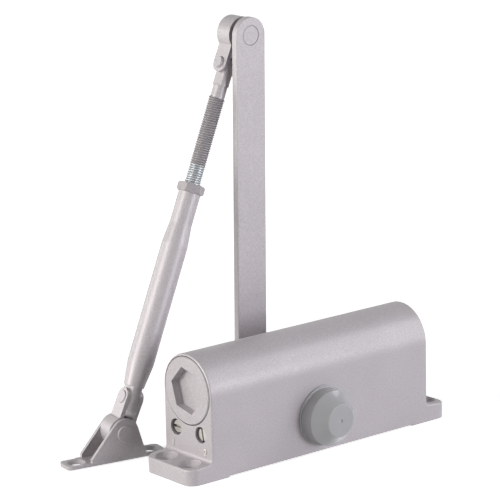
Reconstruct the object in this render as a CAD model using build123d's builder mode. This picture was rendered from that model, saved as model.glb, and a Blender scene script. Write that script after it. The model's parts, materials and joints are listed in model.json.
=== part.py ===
from build123d import *
import math
import os

# Surface-mounted door closer with a two-part lever arm, in millimetres.
# X runs along the body, +Y is the arm side and Z is up from the mounting face.
# The origin is the centre of the four mounting holes on that face.

# Running and fitting clearances
FIT_CLEARANCE = 0.05
RUN_CLEARANCE = 0.1
THREAD_CLEARANCE = 0.2
SIDE_PLAY = 0.4
HEX_SIDES = 6

# Housing
BODY_LENGTH = 150.0
BORE_DIAMETER = 32.0
SIDE_WALL = 3.5
FLOOR_THICKNESS = 7.4
END_ROUND = 1.0
FOOT_REACH = 14.5
FOOT_ROOT_THICKNESS = 9.5
FOOT_TIP_THICKNESS = 8.5
FOOT_CORNER_RADIUS = 6.0
FOOT_EDGE_ROUND = 0.8
FOOT_FILLET = 2.0
BASE_RELIEF_DEPTH = 0.7
BASE_PAD_UNDERLAP = 11.0
MOUNT_HOLE_OFFSET = 7.5
MOUNT_HOLE_SPACING_Y = 19.0
MOUNT_HOLE_DIAMETER = 6.5
MOUNT_SINK_DIAMETER = 12.4
SINK_ANGLE = 90.0

# Rack and pinion
GEAR_MODULE = 1.5
PINION_TEETH = 14
PRESSURE_ANGLE = 25.0
TOOTH_ADDENDUM = 1.5
TOOTH_DEDENDUM = 1.8
TOOTH_THINNING = 0.12
RACK_SET_IN = 1.9
GEAR_FACE = 16.0
CHAMBER_CLEARANCE = 0.5
ARM_SWING = 150.0
RACK_END_MARGIN = 1.0

# Spindle and its supports
JOURNAL_DIAMETER = 14.0
COLLAR_DIAMETER = 17.0
SQUARE_SIZE = 10.0
STUB_LENGTH = 12.5
TAP_DIAMETER = 6.0
TAP_DEPTH = 14.0
SPIGOT_DEPTH = 1.4
GLAND_LENGTH = 1.8
GLAND_SPANNER_HOLE = 2.4
SEAL_LENGTH = 1.8

# Piston, check valve and spring
PISTON_END_GAP = 1.0
PISTON_HEAD_LENGTH = 17.0
PISTON_PASSAGE_DIAMETER = 16.0
CHECK_BALL_DIAMETER = 6.0
CHECK_SEAT_DIAMETER = 4.0
CHECK_LIFT = 0.6
CHECK_RETAINER_LENGTH = 3.0
CHECK_RETAINER_STEP = 0.9
CHECK_RETAINER_BORE = 3.2
SPRING_WIRE = 4.0
SPRING_SIDE_CLEARANCE = 1.8
SPRING_TURNS = 6.5

# End plugs
PLUG_STEP = 2.0
PLUG_LENGTH = 12.0
PLUG_PROUD = 0.5
PLUG_CHAMFER = 0.5
PLUG_SOCKET_FLATS = 22.0
PLUG_SOCKET_DEPTH = 4.6
PLUG_SOCKET_TURN = 12.5
PLUG_SEAL_SECTION = 2.4
PLUG_SEAL_INSET = 9.5
PLUG_MOUTH_GAP = 0.45
PLUG_MOUTH_DEPTH = 1.5

# Speed valves
VALVE_BORE_DIAMETER = 8.8
VALVE_BORE_DEPTH = 26.0
VALVE_WALL = 1.3
VALVE_ANGLE = 25.2
VALVE_RECESS = 1.4
VALVE_HEAD_DIAMETER = 6.6
VALVE_HEAD_HEIGHT = 2.2
VALVE_BODY_LENGTH = 8.0
VALVE_LENGTH = 20.0
VALVE_SLOT_WIDTH = 1.3
VALVE_SLOT_DEPTH = 1.6
VALVE_NEEDLE_DIAMETER = 4.0
VALVE_SEAL_SECTION = 1.8
VALVE_SEAL_INSET = 5.2
SWEEP_SLOT_TURN = 0.0
LATCH_SLOT_TURN = 78.0
OIL_GALLERY_DIAMETER = 3.0
OIL_PORT_INSET = 16.0

# Spindle cap
CAP_FLANGE_DIAMETER = 32.6
CAP_FLANGE_THICKNESS = 1.0
CAP_NECK_DIAMETER = 30.4
CAP_NECK_HEIGHT = 7.8
CAP_DRAFT = 0.3
CAP_DISC_DIAMETER = 17.7
CAP_HEIGHT = 14.7
CAP_BULGE = 0.5
CAP_WALL = 1.5
CAP_DISC_ROUND = 0.5
CAP_DIMPLE_DIAMETER = 2.0
CAP_DIMPLE_DEPTH = 0.3

# Main arm and hub
ARM_STANDOFF = 18.5
ARM_LENGTH = 195.2
ARM_WIDTH = 19.5
ARM_THICKNESS = 4.0
ARM_LEAN = 1.1
ARM_EDGE_ROUND = 0.5
HUB_GAP = 1.0
HUB_DIAMETER = 23.0
HUB_SPIGOT_DIAMETER = 15.0
HUB_EDGE_CHAMFER = 0.8
ARM_SCREW_DIAMETER = 5.8
ARM_SCREW_END_GAP = 1.0
ARM_SCREW_HEAD_FLATS = 10.0
ARM_SCREW_HEAD_HEIGHT = 4.0
ARM_WASHER_DIAMETER = 19.0
ARM_WASHER_THICKNESS = 1.6

# Elbow joint
ELBOW_PIN_DIAMETER = 10.0
ELBOW_TENON_DIAMETER = 10.6
ELBOW_TENON_CHAMFER = 0.35
ELBOW_HEAD_DIAMETER = 15.0
ELBOW_HEAD_HEIGHT = 2.0
ELBOW_WASHER_DIAMETER = 15.0
ELBOW_WASHER_THICKNESS = 2.6
BUSH_WALL = 1.9
STRAP_THICKNESS = 2.2
STRAP_WIDTH = 10.2
ELBOW_RIVET_DISTANCE = 17.7
RIVET_DIAMETER = 4.6
HEAD_TAPER = 20.0
UPPER_HEAD_DIAMETER = 6.6
UPPER_HEAD_HEIGHT = 1.5
LOWER_HEAD_DIAMETER = 7.2
LOWER_HEAD_HEIGHT = 0.6

# Forearm: threaded rod, lock nut and sleeve
FOREARM_LEAN = 24.1
FOREARM_TILT = 1.7
TONGUE_THICKNESS = 5.6
ROD_HEAD_DIAMETER = 8.8
ROD_TONGUE_LENGTH = 11.7
ROD_SHANK_DIAMETER = 7.8
ROD_SHANK_LENGTH = 7.2
ROD_DIAMETER = 9.0
THREAD_PITCH = 1.25
THREAD_DEPTH = 0.67
THREAD_EXPOSED = 47.1
ROD_ENGAGEMENT = 34.0
NUT_FLATS = 13.0
NUT_HEIGHT = 4.8
NUT_CORNER_CHAMFER = 0.8
SLEEVE_NECK_DIAMETER = 12.0
SLEEVE_NECK_LENGTH = 17.1
SLEEVE_TAPER_LENGTH = 11.5
SLEEVE_DIAMETER = 14.2
SLEEVE_LOWER_TAPER = 13.0
SLEEVE_TONGUE_DIAMETER = 11.0
SLEEVE_SHOULDER = 6.6
SLEEVE_TONGUE_OVERRUN = 6.0
SLEEVE_TRAVEL_IN = 20.0
SLEEVE_BORE_SPARE = 4.0

# Shoe and its link
SHOE_YAW = -10.0
SHOE_LINK_LENGTH = 17.8
SHOE_PIN_HEIGHT = 15.0
SHOE_PIN_DIAMETER = 8.6
SHOE_TENON_DIAMETER = 7.0
SHOE_HEAD_DIAMETER = 9.5
SHOE_HEAD_HEIGHT = 1.0
SHOE_SHEET = 2.0
SHOE_BEND_RADIUS = 1.8
EAR_APEX_RADIUS = 7.9
EAR_FOOT_LEFT = 19.8
EAR_FOOT_RIGHT = 11.5
EAR_FOOT_RISE = 4.0
SHOE_BASE_LEFT = 23.2
SHOE_BASE_RIGHT = 12.7
SHOE_REACH_LEFT = 33.0
SHOE_REACH_RIGHT = 24.5
SHOE_FLANGE_WIDTH = 12.6
SHOE_CORNER_RADIUS = 3.0
SHOE_HOLE_INSET = 7.2
SHOE_HOLE_DIAMETER = 6.0
SHOE_SINK_DIAMETER = 9.8

# Places that follow from the driving sizes
BORE_RADIUS = BORE_DIAMETER / 2
HALF_LENGTH = BODY_LENGTH / 2
HALF_WIDTH = BORE_RADIUS + SIDE_WALL
PITCH_RADIUS = GEAR_MODULE * PINION_TEETH / 2
TIP_RADIUS = PITCH_RADIUS + TOOTH_ADDENDUM
ROOT_RADIUS = PITCH_RADIUS - TOOTH_DEDENDUM
CHAMBER_RADIUS = TIP_RADIUS + CHAMBER_CLEARANCE
PINION_HEIGHT = FLOOR_THICKNESS + CHAMBER_RADIUS
RACK_DROP = BORE_RADIUS - RACK_SET_IN
RACK_HEIGHT = PINION_HEIGHT + PITCH_RADIUS
BORE_HEIGHT = RACK_HEIGHT + RACK_DROP
BODY_HEIGHT = BORE_HEIGHT + HALF_WIDTH
FOOT_TIP = HALF_LENGTH + FOOT_REACH
MOUNT_HOLE_SPACING_X = BODY_LENGTH + 2 * MOUNT_HOLE_OFFSET
PLUG_RADIUS = BORE_RADIUS + PLUG_STEP
PLUG_BORE_RADIUS = PLUG_RADIUS + THREAD_CLEARANCE
VALVE_BORE_RADIUS = VALVE_BORE_DIAMETER / 2
VALVE_DISTANCE = PLUG_BORE_RADIUS + VALVE_BORE_RADIUS + VALVE_WALL
VALVE_SIDE = VALVE_DISTANCE * math.sin(math.radians(VALVE_ANGLE))
VALVE_HEIGHT = BORE_HEIGHT - VALVE_DISTANCE * math.cos(math.radians(VALVE_ANGLE))
JOURNAL_RADIUS = JOURNAL_DIAMETER / 2

# Piston travel and places along the bore
PISTON_STROKE = PITCH_RADIUS * math.radians(ARM_SWING)
GEAR_REACH = math.sqrt(TIP_RADIUS**2 - (PITCH_RADIUS - TOOTH_ADDENDUM) ** 2) + RACK_END_MARGIN
PISTON_RADIUS = BORE_RADIUS - FIT_CLEARANCE
PISTON_LEFT = -HALF_LENGTH + PLUG_LENGTH + PISTON_END_GAP
PISTON_RIGHT = GEAR_REACH
RACK_LEFT = -PISTON_STROKE - GEAR_REACH
SPRING_END = HALF_LENGTH - PLUG_LENGTH

# Places across the spindle, from the middle outwards
BEARING_START = math.sqrt(BORE_RADIUS**2 - (BORE_HEIGHT - PINION_HEIGHT - CHAMBER_RADIUS) ** 2) + SIDE_PLAY
GLAND_END = HALF_WIDTH - SPIGOT_DEPTH
SEAL_END = GLAND_END - GLAND_LENGTH
BEARING_END = SEAL_END - SEAL_LENGTH
SQUARE_START = HALF_WIDTH + HUB_GAP / 2
STUB_END = HALF_WIDTH + STUB_LENGTH

# Places across the arm, from the body's back face outwards
ARM_FRONT = HALF_WIDTH + ARM_STANDOFF
ARM_BACK = ARM_FRONT + ARM_THICKNESS
ELBOW_WASHER_START = ARM_BACK + RUN_CLEARANCE
STRAP_START = ELBOW_WASHER_START + ELBOW_WASHER_THICKNESS + RUN_CLEARANCE
STRAP_MIDDLE = STRAP_START + STRAP_WIDTH / 2
STRAP_END = STRAP_START + STRAP_WIDTH

# Arm and forearm directions
LEAN = math.radians(ARM_LEAN)
SLOPE = math.radians(FOREARM_LEAN)
TILT = math.radians(FOREARM_TILT)
YAW = math.radians(SHOE_YAW)
ARM_DIRECTION = Vector(math.sin(LEAN), 0, math.cos(LEAN))
ELBOW_LINK_DIRECTION = Vector(-math.sin(SLOPE), 0, -math.cos(SLOPE))
FOREARM_DIRECTION = ELBOW_LINK_DIRECTION * math.cos(TILT) - Vector(0, math.sin(TILT), 0)
ELBOW = Vector(0, STRAP_MIDDLE, PINION_HEIGHT) + ARM_DIRECTION * ARM_LENGTH
UPPER_RIVET = ELBOW + ELBOW_LINK_DIRECTION * ELBOW_RIVET_DISTANCE
FOREARM_ORIGIN = UPPER_RIVET - FOREARM_DIRECTION * ELBOW_RIVET_DISTANCE
SHOE_PIN_AXIS = Vector(-math.sin(YAW), math.cos(YAW), 0)
LINK_SKEW = FOREARM_DIRECTION.dot(SHOE_PIN_AXIS)
SHOE_LINK_DIRECTION = (FOREARM_DIRECTION - SHOE_PIN_AXIS * LINK_SKEW).normalized()
LOWER_RIVET_AXIS = SHOE_PIN_AXIS.cross(SHOE_LINK_DIRECTION)

# The forearm is as long as it takes for the shoe to lie on the mounting plane
SHOE_LINK_DROP = -SHOE_LINK_DIRECTION.Z * SHOE_LINK_LENGTH
FOREARM_LENGTH = (FOREARM_ORIGIN.Z - SHOE_PIN_HEIGHT - SHOE_LINK_DROP) / -FOREARM_DIRECTION.Z
LOWER_RIVET = FOREARM_ORIGIN + FOREARM_DIRECTION * FOREARM_LENGTH
SHOE_PIN = LOWER_RIVET + SHOE_LINK_DIRECTION * SHOE_LINK_LENGTH

# Distances along the forearm, from abreast of the elbow pin
ROD_SHOULDER = ELBOW_RIVET_DISTANCE + ROD_TONGUE_LENGTH
THREAD_START = ROD_SHOULDER + ROD_SHANK_LENGTH
NUT_START = THREAD_START + THREAD_EXPOSED
SLEEVE_START = NUT_START + NUT_HEIGHT
NECK_END = SLEEVE_START + SLEEVE_NECK_LENGTH
TUBE_START = NECK_END + SLEEVE_TAPER_LENGTH
SLEEVE_END = FOREARM_LENGTH - SLEEVE_SHOULDER
TUBE_END = SLEEVE_END - SLEEVE_LOWER_TAPER
SLEEVE_TONGUE_END = FOREARM_LENGTH + SLEEVE_TONGUE_OVERRUN
ROD_END = SLEEVE_START + ROD_ENGAGEMENT
SLEEVE_BORE_END = ROD_END + SLEEVE_TRAVEL_IN + SLEEVE_BORE_SPARE

# Joint planes: local x runs along the forearm or link, local y along the cross rivet
ELBOW_PLANE = Plane(origin=ELBOW, x_dir=ELBOW_LINK_DIRECTION, z_dir=(0, -1, 0))
UPPER_RIVET_AXIS = ELBOW_PLANE.y_dir
FOREARM_PLANE = Plane(
    origin=FOREARM_ORIGIN, x_dir=FOREARM_DIRECTION, z_dir=FOREARM_DIRECTION.cross(UPPER_RIVET_AXIS)
)
SHOE_LINK_PLANE = Plane(origin=SHOE_PIN, x_dir=-SHOE_LINK_DIRECTION, z_dir=SHOE_PIN_AXIS)
SHOE_FLOOR = Vector(SHOE_PIN.X, SHOE_PIN.Y, 0)
SHOE_PLANE = Plane(origin=SHOE_FLOOR, x_dir=(math.cos(YAW), math.sin(YAW), 0), z_dir=(0, 0, 1))
FOREARM_AXIS = Axis(FOREARM_ORIGIN, FOREARM_DIRECTION)

EAR_GAP_HALF = TONGUE_THICKNESS / 2 + RUN_CLEARANCE
EAR_FACE = EAR_GAP_HALF + STRAP_THICKNESS
SHOE_GAP_HALF = STRAP_WIDTH / 2 + RUN_CLEARANCE
SHOE_FACE = SHOE_GAP_HALF + SHOE_SHEET

pieces = {}


def back_plane(x, y, z):
    """Plane across the spindle direction, whose normal points to the arm side."""
    return Plane(origin=(x, y, z), x_dir=(1, 0, 0), z_dir=(0, 1, 0))


def along_plane(y, z):
    """Plane along the body through a line parallel to the bore."""
    return Plane(origin=(0, y, z), x_dir=(1, 0, 0), z_dir=(0, -1, 0))


def ring(plane, outer_radius, inner_radius, length):
    """Plain ring that stands on a plane."""
    with BuildPart() as blank:
        with BuildSketch(plane):
            Circle(outer_radius)
            Circle(inner_radius, mode=Mode.SUBTRACT)
        extrude(amount=length)
    return blank.part


# Housing: round-topped casting with a drilled foot at each end
with BuildPart() as housing:
    with BuildSketch(Plane.YZ.offset(-HALF_LENGTH)):
        with BuildLine():
            floor_line = Line((-HALF_WIDTH, 0), (HALF_WIDTH, 0))
            side_line = Line(floor_line @ 1, (HALF_WIDTH, BORE_HEIGHT))
            crown = ThreePointArc(side_line @ 1, (0, BODY_HEIGHT), (-HALF_WIDTH, BORE_HEIGHT))
            Line(crown @ 1, floor_line @ 0)
        make_face()
    extrude(amount=BODY_LENGTH)
    end_rims = faces().filter_by(Axis.X).edges().filter_by(lambda e: e.center().Z > FOOT_ROOT_THICKNESS)
    fillet(end_rims, END_ROUND)
    with BuildSketch(Plane.XZ):
        with BuildLine():
            Polyline(
                (-FOOT_TIP, 0),
                (FOOT_TIP, 0),
                (FOOT_TIP, FOOT_TIP_THICKNESS),
                (HALF_LENGTH, FOOT_ROOT_THICKNESS),
                (-HALF_LENGTH, FOOT_ROOT_THICKNESS),
                (-FOOT_TIP, FOOT_TIP_THICKNESS),
                close=True,
            )
        make_face()
    extrude(amount=HALF_WIDTH, both=True)
    tip_corners = edges().filter_by(Axis.Z).filter_by(lambda e: abs(e.center().X) > HALF_LENGTH + FOOT_FILLET)
    fillet(tip_corners, FOOT_CORNER_RADIUS)
    cross_edges = edges().filter_by(Axis.Y)
    foot_roots = cross_edges.filter_by(lambda e: abs(e.center().Z - FOOT_ROOT_THICKNESS) < FIT_CLEARANCE)
    fillet(foot_roots, FOOT_FILLET)
    foot_tips = edges().filter_by(lambda e: abs(e.center().X) > FOOT_TIP - FOOT_CORNER_RADIUS)
    fillet(foot_tips.group_by(Axis.Z)[-1], FOOT_EDGE_ROUND)
    with BuildSketch(Plane.XY):
        Rectangle(2 * (HALF_LENGTH - BASE_PAD_UNDERLAP), 2 * HALF_WIDTH)
    extrude(amount=BASE_RELIEF_DEPTH, mode=Mode.SUBTRACT)
    foot_slope = (FOOT_ROOT_THICKNESS - FOOT_TIP_THICKNESS) / FOOT_REACH
    foot_hole_height = FOOT_ROOT_THICKNESS - MOUNT_HOLE_OFFSET * foot_slope
    with Locations(Plane.XY.offset(foot_hole_height)):
        with GridLocations(MOUNT_HOLE_SPACING_X, MOUNT_HOLE_SPACING_Y, 2, 2):
            CounterSinkHole(MOUNT_HOLE_DIAMETER / 2, MOUNT_SINK_DIAMETER / 2, FOOT_ROOT_THICKNESS, SINK_ANGLE)
    with BuildSketch(Plane.YZ.offset(-HALF_LENGTH)):
        with Locations((0, BORE_HEIGHT)):
            Circle(BORE_RADIUS)
    extrude(amount=BODY_LENGTH, mode=Mode.SUBTRACT)
    for start in (-HALF_LENGTH, HALF_LENGTH - PLUG_LENGTH):
        with BuildSketch(Plane.YZ.offset(start)):
            with Locations((0, BORE_HEIGHT)):
                Circle(PLUG_BORE_RADIUS)
        extrude(amount=PLUG_LENGTH, mode=Mode.SUBTRACT)
    for start in (-HALF_LENGTH, HALF_LENGTH - PLUG_MOUTH_DEPTH):
        with BuildSketch(Plane.YZ.offset(start)):
            with Locations((0, BORE_HEIGHT)):
                Circle(PLUG_RADIUS + PLUG_MOUTH_GAP)
        extrude(amount=PLUG_MOUTH_DEPTH, mode=Mode.SUBTRACT)
    with BuildSketch(back_plane(0, -HALF_WIDTH, PINION_HEIGHT)):
        Circle(CHAMBER_RADIUS)
    extrude(amount=2 * HALF_WIDTH, mode=Mode.SUBTRACT)
    with BuildSketch(Plane.YZ.offset(-HALF_LENGTH)):
        with Locations((-VALVE_SIDE, VALVE_HEIGHT), (VALVE_SIDE, VALVE_HEIGHT)):
            Circle(VALVE_BORE_RADIUS)
    extrude(amount=VALVE_BORE_DEPTH, mode=Mode.SUBTRACT)
    with BuildSketch(Plane.YZ.offset(-HALF_LENGTH)):
        with Locations((-VALVE_SIDE, VALVE_HEIGHT), (VALVE_SIDE, VALVE_HEIGHT)):
            Circle(OIL_GALLERY_DIAMETER / 2)
    extrude(amount=HALF_LENGTH, mode=Mode.SUBTRACT)
    with BuildSketch(Plane.XY.offset(VALVE_HEIGHT)):
        for side in (-VALVE_SIDE, VALVE_SIDE):
            with Locations((OIL_PORT_INSET - HALF_LENGTH, side)):
                Circle(OIL_GALLERY_DIAMETER / 2)
    extrude(amount=BORE_HEIGHT - VALVE_HEIGHT, mode=Mode.SUBTRACT)
pieces["housing"] = housing.part


# End plugs: threaded discs with a hexagon socket and an O-ring groove
def end_plug(side):
    """Plug at one end of the bore; side is -1 for the valve end and 1 for the spring end."""
    face = Plane(origin=(side * HALF_LENGTH, 0, BORE_HEIGHT), x_dir=(0, 1, 0), z_dir=(-side, 0, 0))
    with BuildPart() as plug:
        with BuildSketch(face.offset(-PLUG_PROUD)):
            Circle(PLUG_RADIUS)
        extrude(amount=PLUG_LENGTH + PLUG_PROUD)
        chamfer(edges().sort_by(Axis.X)[0 if side < 0 else -1], PLUG_CHAMFER)
        with BuildSketch(face.offset(-PLUG_PROUD)):
            socket_turn = -side * PLUG_SOCKET_TURN
            RegularPolygon(PLUG_SOCKET_FLATS / 2, HEX_SIDES, major_radius=False, rotation=socket_turn)
        extrude(amount=PLUG_SOCKET_DEPTH, mode=Mode.SUBTRACT)
        with BuildSketch(face.offset(PLUG_SEAL_INSET - PLUG_SEAL_SECTION / 2 - FIT_CLEARANCE)):
            Circle(PLUG_RADIUS)
            Circle(PLUG_BORE_RADIUS - PLUG_SEAL_SECTION - 2 * FIT_CLEARANCE, mode=Mode.SUBTRACT)
        extrude(amount=PLUG_SEAL_SECTION + 2 * FIT_CLEARANCE, mode=Mode.SUBTRACT)
    with BuildPart() as seal:
        with Locations(face.offset(PLUG_SEAL_INSET)):
            Torus(PLUG_BORE_RADIUS - FIT_CLEARANCE - PLUG_SEAL_SECTION / 2, PLUG_SEAL_SECTION / 2)
    return plug.part, seal.part


pieces["valve_end_plug"], pieces["valve_end_seal"] = end_plug(-1)
pieces["spring_end_plug"], pieces["spring_end_seal"] = end_plug(1)

# Piston: rack teeth on the underside, an oil passage and a check valve in the head
RACK_PITCH = math.pi * GEAR_MODULE
GAP_HALF_AT_PITCH = RACK_PITCH / 4 + TOOTH_THINNING / 2
FLANK_SLOPE = math.tan(math.radians(PRESSURE_ANGLE))
CHECK_BALL_RADIUS = CHECK_BALL_DIAMETER / 2
CHECK_BORE_RADIUS = CHECK_BALL_RADIUS + SIDE_PLAY
SEAT_OFFSET = math.sqrt(CHECK_BALL_RADIUS**2 - (CHECK_SEAT_DIAMETER / 2) ** 2) + FIT_CLEARANCE
CHECK_BALL_X = PISTON_LEFT + CHECK_RETAINER_LENGTH + CHECK_LIFT + RUN_CLEARANCE + CHECK_BALL_RADIUS
CHECK_SEAT_X = CHECK_BALL_X + SEAT_OFFSET

with BuildPart() as piston:
    with BuildSketch(Plane.YZ.offset(PISTON_LEFT)):
        with Locations((0, BORE_HEIGHT)):
            Circle(PISTON_RADIUS)
    extrude(amount=PISTON_RIGHT - PISTON_LEFT)
    with BuildSketch(Plane.XZ):
        with BuildLine():
            tip_line = RACK_HEIGHT - TOOTH_ADDENDUM
            Polyline(
                (RACK_LEFT, PINION_HEIGHT),
                (PISTON_RIGHT, PINION_HEIGHT),
                (PISTON_RIGHT, tip_line),
                (RACK_LEFT, tip_line),
                close=True,
            )
        make_face()
    extrude(amount=BORE_RADIUS, both=True, mode=Mode.SUBTRACT)
    gap_mouth = GAP_HALF_AT_PITCH + TOOTH_ADDENDUM * FLANK_SLOPE
    gap_root = GAP_HALF_AT_PITCH - TOOTH_DEDENDUM * FLANK_SLOPE
    first_gap = math.ceil((RACK_LEFT + gap_mouth) / RACK_PITCH)
    last_gap = math.ceil(PISTON_RIGHT / RACK_PITCH)
    with BuildSketch(Plane.XZ):
        for count in range(first_gap, last_gap + 1):
            middle = count * RACK_PITCH
            with BuildLine():
                Polyline(
                    (middle - gap_mouth, tip_line),
                    (middle + gap_mouth, tip_line),
                    (middle + gap_root, RACK_HEIGHT + TOOTH_DEDENDUM),
                    (middle - gap_root, RACK_HEIGHT + TOOTH_DEDENDUM),
                    close=True,
                )
            make_face()
    extrude(amount=BORE_RADIUS, both=True, mode=Mode.SUBTRACT)
    with BuildSketch(Plane.YZ.offset(PISTON_LEFT + PISTON_HEAD_LENGTH)):
        with Locations((0, BORE_HEIGHT)):
            Circle(PISTON_PASSAGE_DIAMETER / 2)
    extrude(amount=PISTON_RIGHT - PISTON_LEFT - PISTON_HEAD_LENGTH, mode=Mode.SUBTRACT)
    with BuildSketch(along_plane(0, BORE_HEIGHT)):
        with BuildLine():
            Polyline(
                (PISTON_LEFT, 0),
                (PISTON_LEFT, CHECK_BORE_RADIUS + CHECK_RETAINER_STEP),
                (PISTON_LEFT + CHECK_RETAINER_LENGTH, CHECK_BORE_RADIUS + CHECK_RETAINER_STEP),
                (PISTON_LEFT + CHECK_RETAINER_LENGTH, CHECK_BORE_RADIUS),
                (CHECK_SEAT_X, CHECK_BORE_RADIUS),
                (CHECK_SEAT_X, CHECK_SEAT_DIAMETER / 2),
                (PISTON_LEFT + PISTON_HEAD_LENGTH, CHECK_SEAT_DIAMETER / 2),
                (PISTON_LEFT + PISTON_HEAD_LENGTH, 0),
                close=True,
            )
        make_face()
    revolve(axis=Axis((0, 0, BORE_HEIGHT), (1, 0, 0)), mode=Mode.SUBTRACT)
pieces["piston"] = piston.part

with BuildPart() as check_ball:
    with Locations((CHECK_BALL_X, 0, BORE_HEIGHT)):
        Sphere(CHECK_BALL_RADIUS)
pieces["check_ball"] = check_ball.part

retainer_plane = Plane(origin=(PISTON_LEFT, 0, BORE_HEIGHT), x_dir=(0, 1, 0), z_dir=(1, 0, 0))
pieces["check_retainer"] = ring(
    retainer_plane,
    CHECK_BORE_RADIUS + CHECK_RETAINER_STEP - FIT_CLEARANCE,
    CHECK_RETAINER_BORE / 2,
    CHECK_RETAINER_LENGTH,
)

# Closing spring: wound wire with its end turns ground flat on the piston and on the plug
SPRING_RADIUS = BORE_RADIUS - SPRING_SIDE_CLEARANCE - SPRING_WIRE / 2
SPRING_LENGTH = SPRING_END - PISTON_RIGHT
SPRING_PITCH = SPRING_LENGTH / SPRING_TURNS

with BuildPart() as closing_spring:
    with BuildLine() as coil:
        Helix(
            SPRING_PITCH,
            SPRING_LENGTH,
            SPRING_RADIUS,
            center=(PISTON_RIGHT, 0, BORE_HEIGHT),
            direction=(1, 0, 0),
        )
    with BuildSketch(Plane(origin=coil.line @ 0, z_dir=coil.line % 0)):
        Circle(SPRING_WIRE / 2)
    sweep(is_frenet=True)
    split(bisect_by=Plane.YZ.offset(PISTON_RIGHT), keep=Keep.TOP)
    split(bisect_by=Plane.YZ.offset(SPRING_END), keep=Keep.BOTTOM)
pieces["closing_spring"] = closing_spring.part

# Pinion: involute teeth in the middle, a journal and a square stub on each side
BASE_RADIUS = PITCH_RADIUS * math.cos(math.radians(PRESSURE_ANGLE))


def involute(angle):
    """Involute function of a pressure angle in radians."""
    return math.tan(angle) - angle


def flank_point(radius, side):
    """Point of a tooth flank at a radius, for a tooth that points up."""
    half_at_pitch = (math.pi * GEAR_MODULE / 2 - TOOTH_THINNING) / (2 * PITCH_RADIUS)
    rolled = involute(math.acos(BASE_RADIUS / max(radius, BASE_RADIUS)))
    half = half_at_pitch + involute(math.radians(PRESSURE_ANGLE)) - rolled
    return (side * radius * math.sin(half), radius * math.cos(half))


FLANK_STEPS = 4
flank_step = (TIP_RADIUS - BASE_RADIUS) / FLANK_STEPS
flank_radii = [BASE_RADIUS + flank_step * count for count in range(FLANK_STEPS + 1)]

with BuildSketch() as tooth:
    with BuildLine():
        right_root = Line(flank_point(ROOT_RADIUS, 1), flank_point(BASE_RADIUS, 1))
        right_flank = Spline(*[flank_point(radius, 1) for radius in flank_radii])
        left_flank = Spline(*[flank_point(radius, -1) for radius in flank_radii])
        left_root = Line(flank_point(BASE_RADIUS, -1), flank_point(ROOT_RADIUS, -1))
        ThreePointArc(right_flank @ 1, (0, TIP_RADIUS), left_flank @ 1)
        Polyline(left_root @ 1, (0, 0), right_root @ 0)
    make_face()

with BuildPart() as pinion:
    with BuildSketch(Plane(origin=(0, GEAR_FACE / 2, PINION_HEIGHT), x_dir=(1, 0, 0), z_dir=(0, -1, 0))):
        Circle(ROOT_RADIUS)
        with PolarLocations(0, PINION_TEETH):
            add(tooth.sketch)
    extrude(amount=GEAR_FACE)
    with BuildSketch(back_plane(0, -BEARING_START + RUN_CLEARANCE, PINION_HEIGHT)):
        Circle(COLLAR_DIAMETER / 2)
    extrude(amount=2 * (BEARING_START - RUN_CLEARANCE))
    with BuildSketch(back_plane(0, -SQUARE_START, PINION_HEIGHT)):
        Circle(JOURNAL_RADIUS)
    extrude(amount=2 * SQUARE_START)
    with BuildSketch(back_plane(0, -STUB_END, PINION_HEIGHT)):
        Rectangle(SQUARE_SIZE, SQUARE_SIZE)
        Circle(JOURNAL_RADIUS, mode=Mode.INTERSECT)
    extrude(amount=2 * STUB_END)
    for start in (-STUB_END, STUB_END - TAP_DEPTH):
        with BuildSketch(back_plane(0, start, PINION_HEIGHT)):
            Circle(TAP_DIAMETER / 2)
        extrude(amount=TAP_DEPTH, mode=Mode.SUBTRACT)
pieces["pinion"] = pinion.part


# Bearing, lip seal and gland on one side of the spindle, from the middle outwards
def spindle_support(side):
    """Bearing, seal and gland; side is -1 for the front and 1 for the back."""

    def facing(distance):
        return Plane(origin=(0, side * distance, PINION_HEIGHT), x_dir=(1, 0, 0), z_dir=(0, side, 0))

    outer_radius = CHAMBER_RADIUS - FIT_CLEARANCE
    inner_radius = JOURNAL_RADIUS + FIT_CLEARANCE
    bearing = ring(facing(BEARING_START), outer_radius, inner_radius, BEARING_END - BEARING_START)
    seal = ring(facing(BEARING_END), outer_radius, inner_radius, SEAL_LENGTH)
    with BuildPart() as gland:
        with BuildSketch(facing(SEAL_END)):
            Circle(outer_radius)
            Circle(JOURNAL_RADIUS + THREAD_CLEARANCE, mode=Mode.SUBTRACT)
            with PolarLocations((outer_radius + JOURNAL_RADIUS) / 2, 2):
                Circle(GLAND_SPANNER_HOLE / 2, mode=Mode.SUBTRACT)
        extrude(amount=GLAND_LENGTH)
    return bearing, seal, gland.part


pieces["front_bearing"], pieces["front_seal"], pieces["front_gland"] = spindle_support(-1)
pieces["back_bearing"], pieces["back_seal"], pieces["back_gland"] = spindle_support(1)


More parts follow.
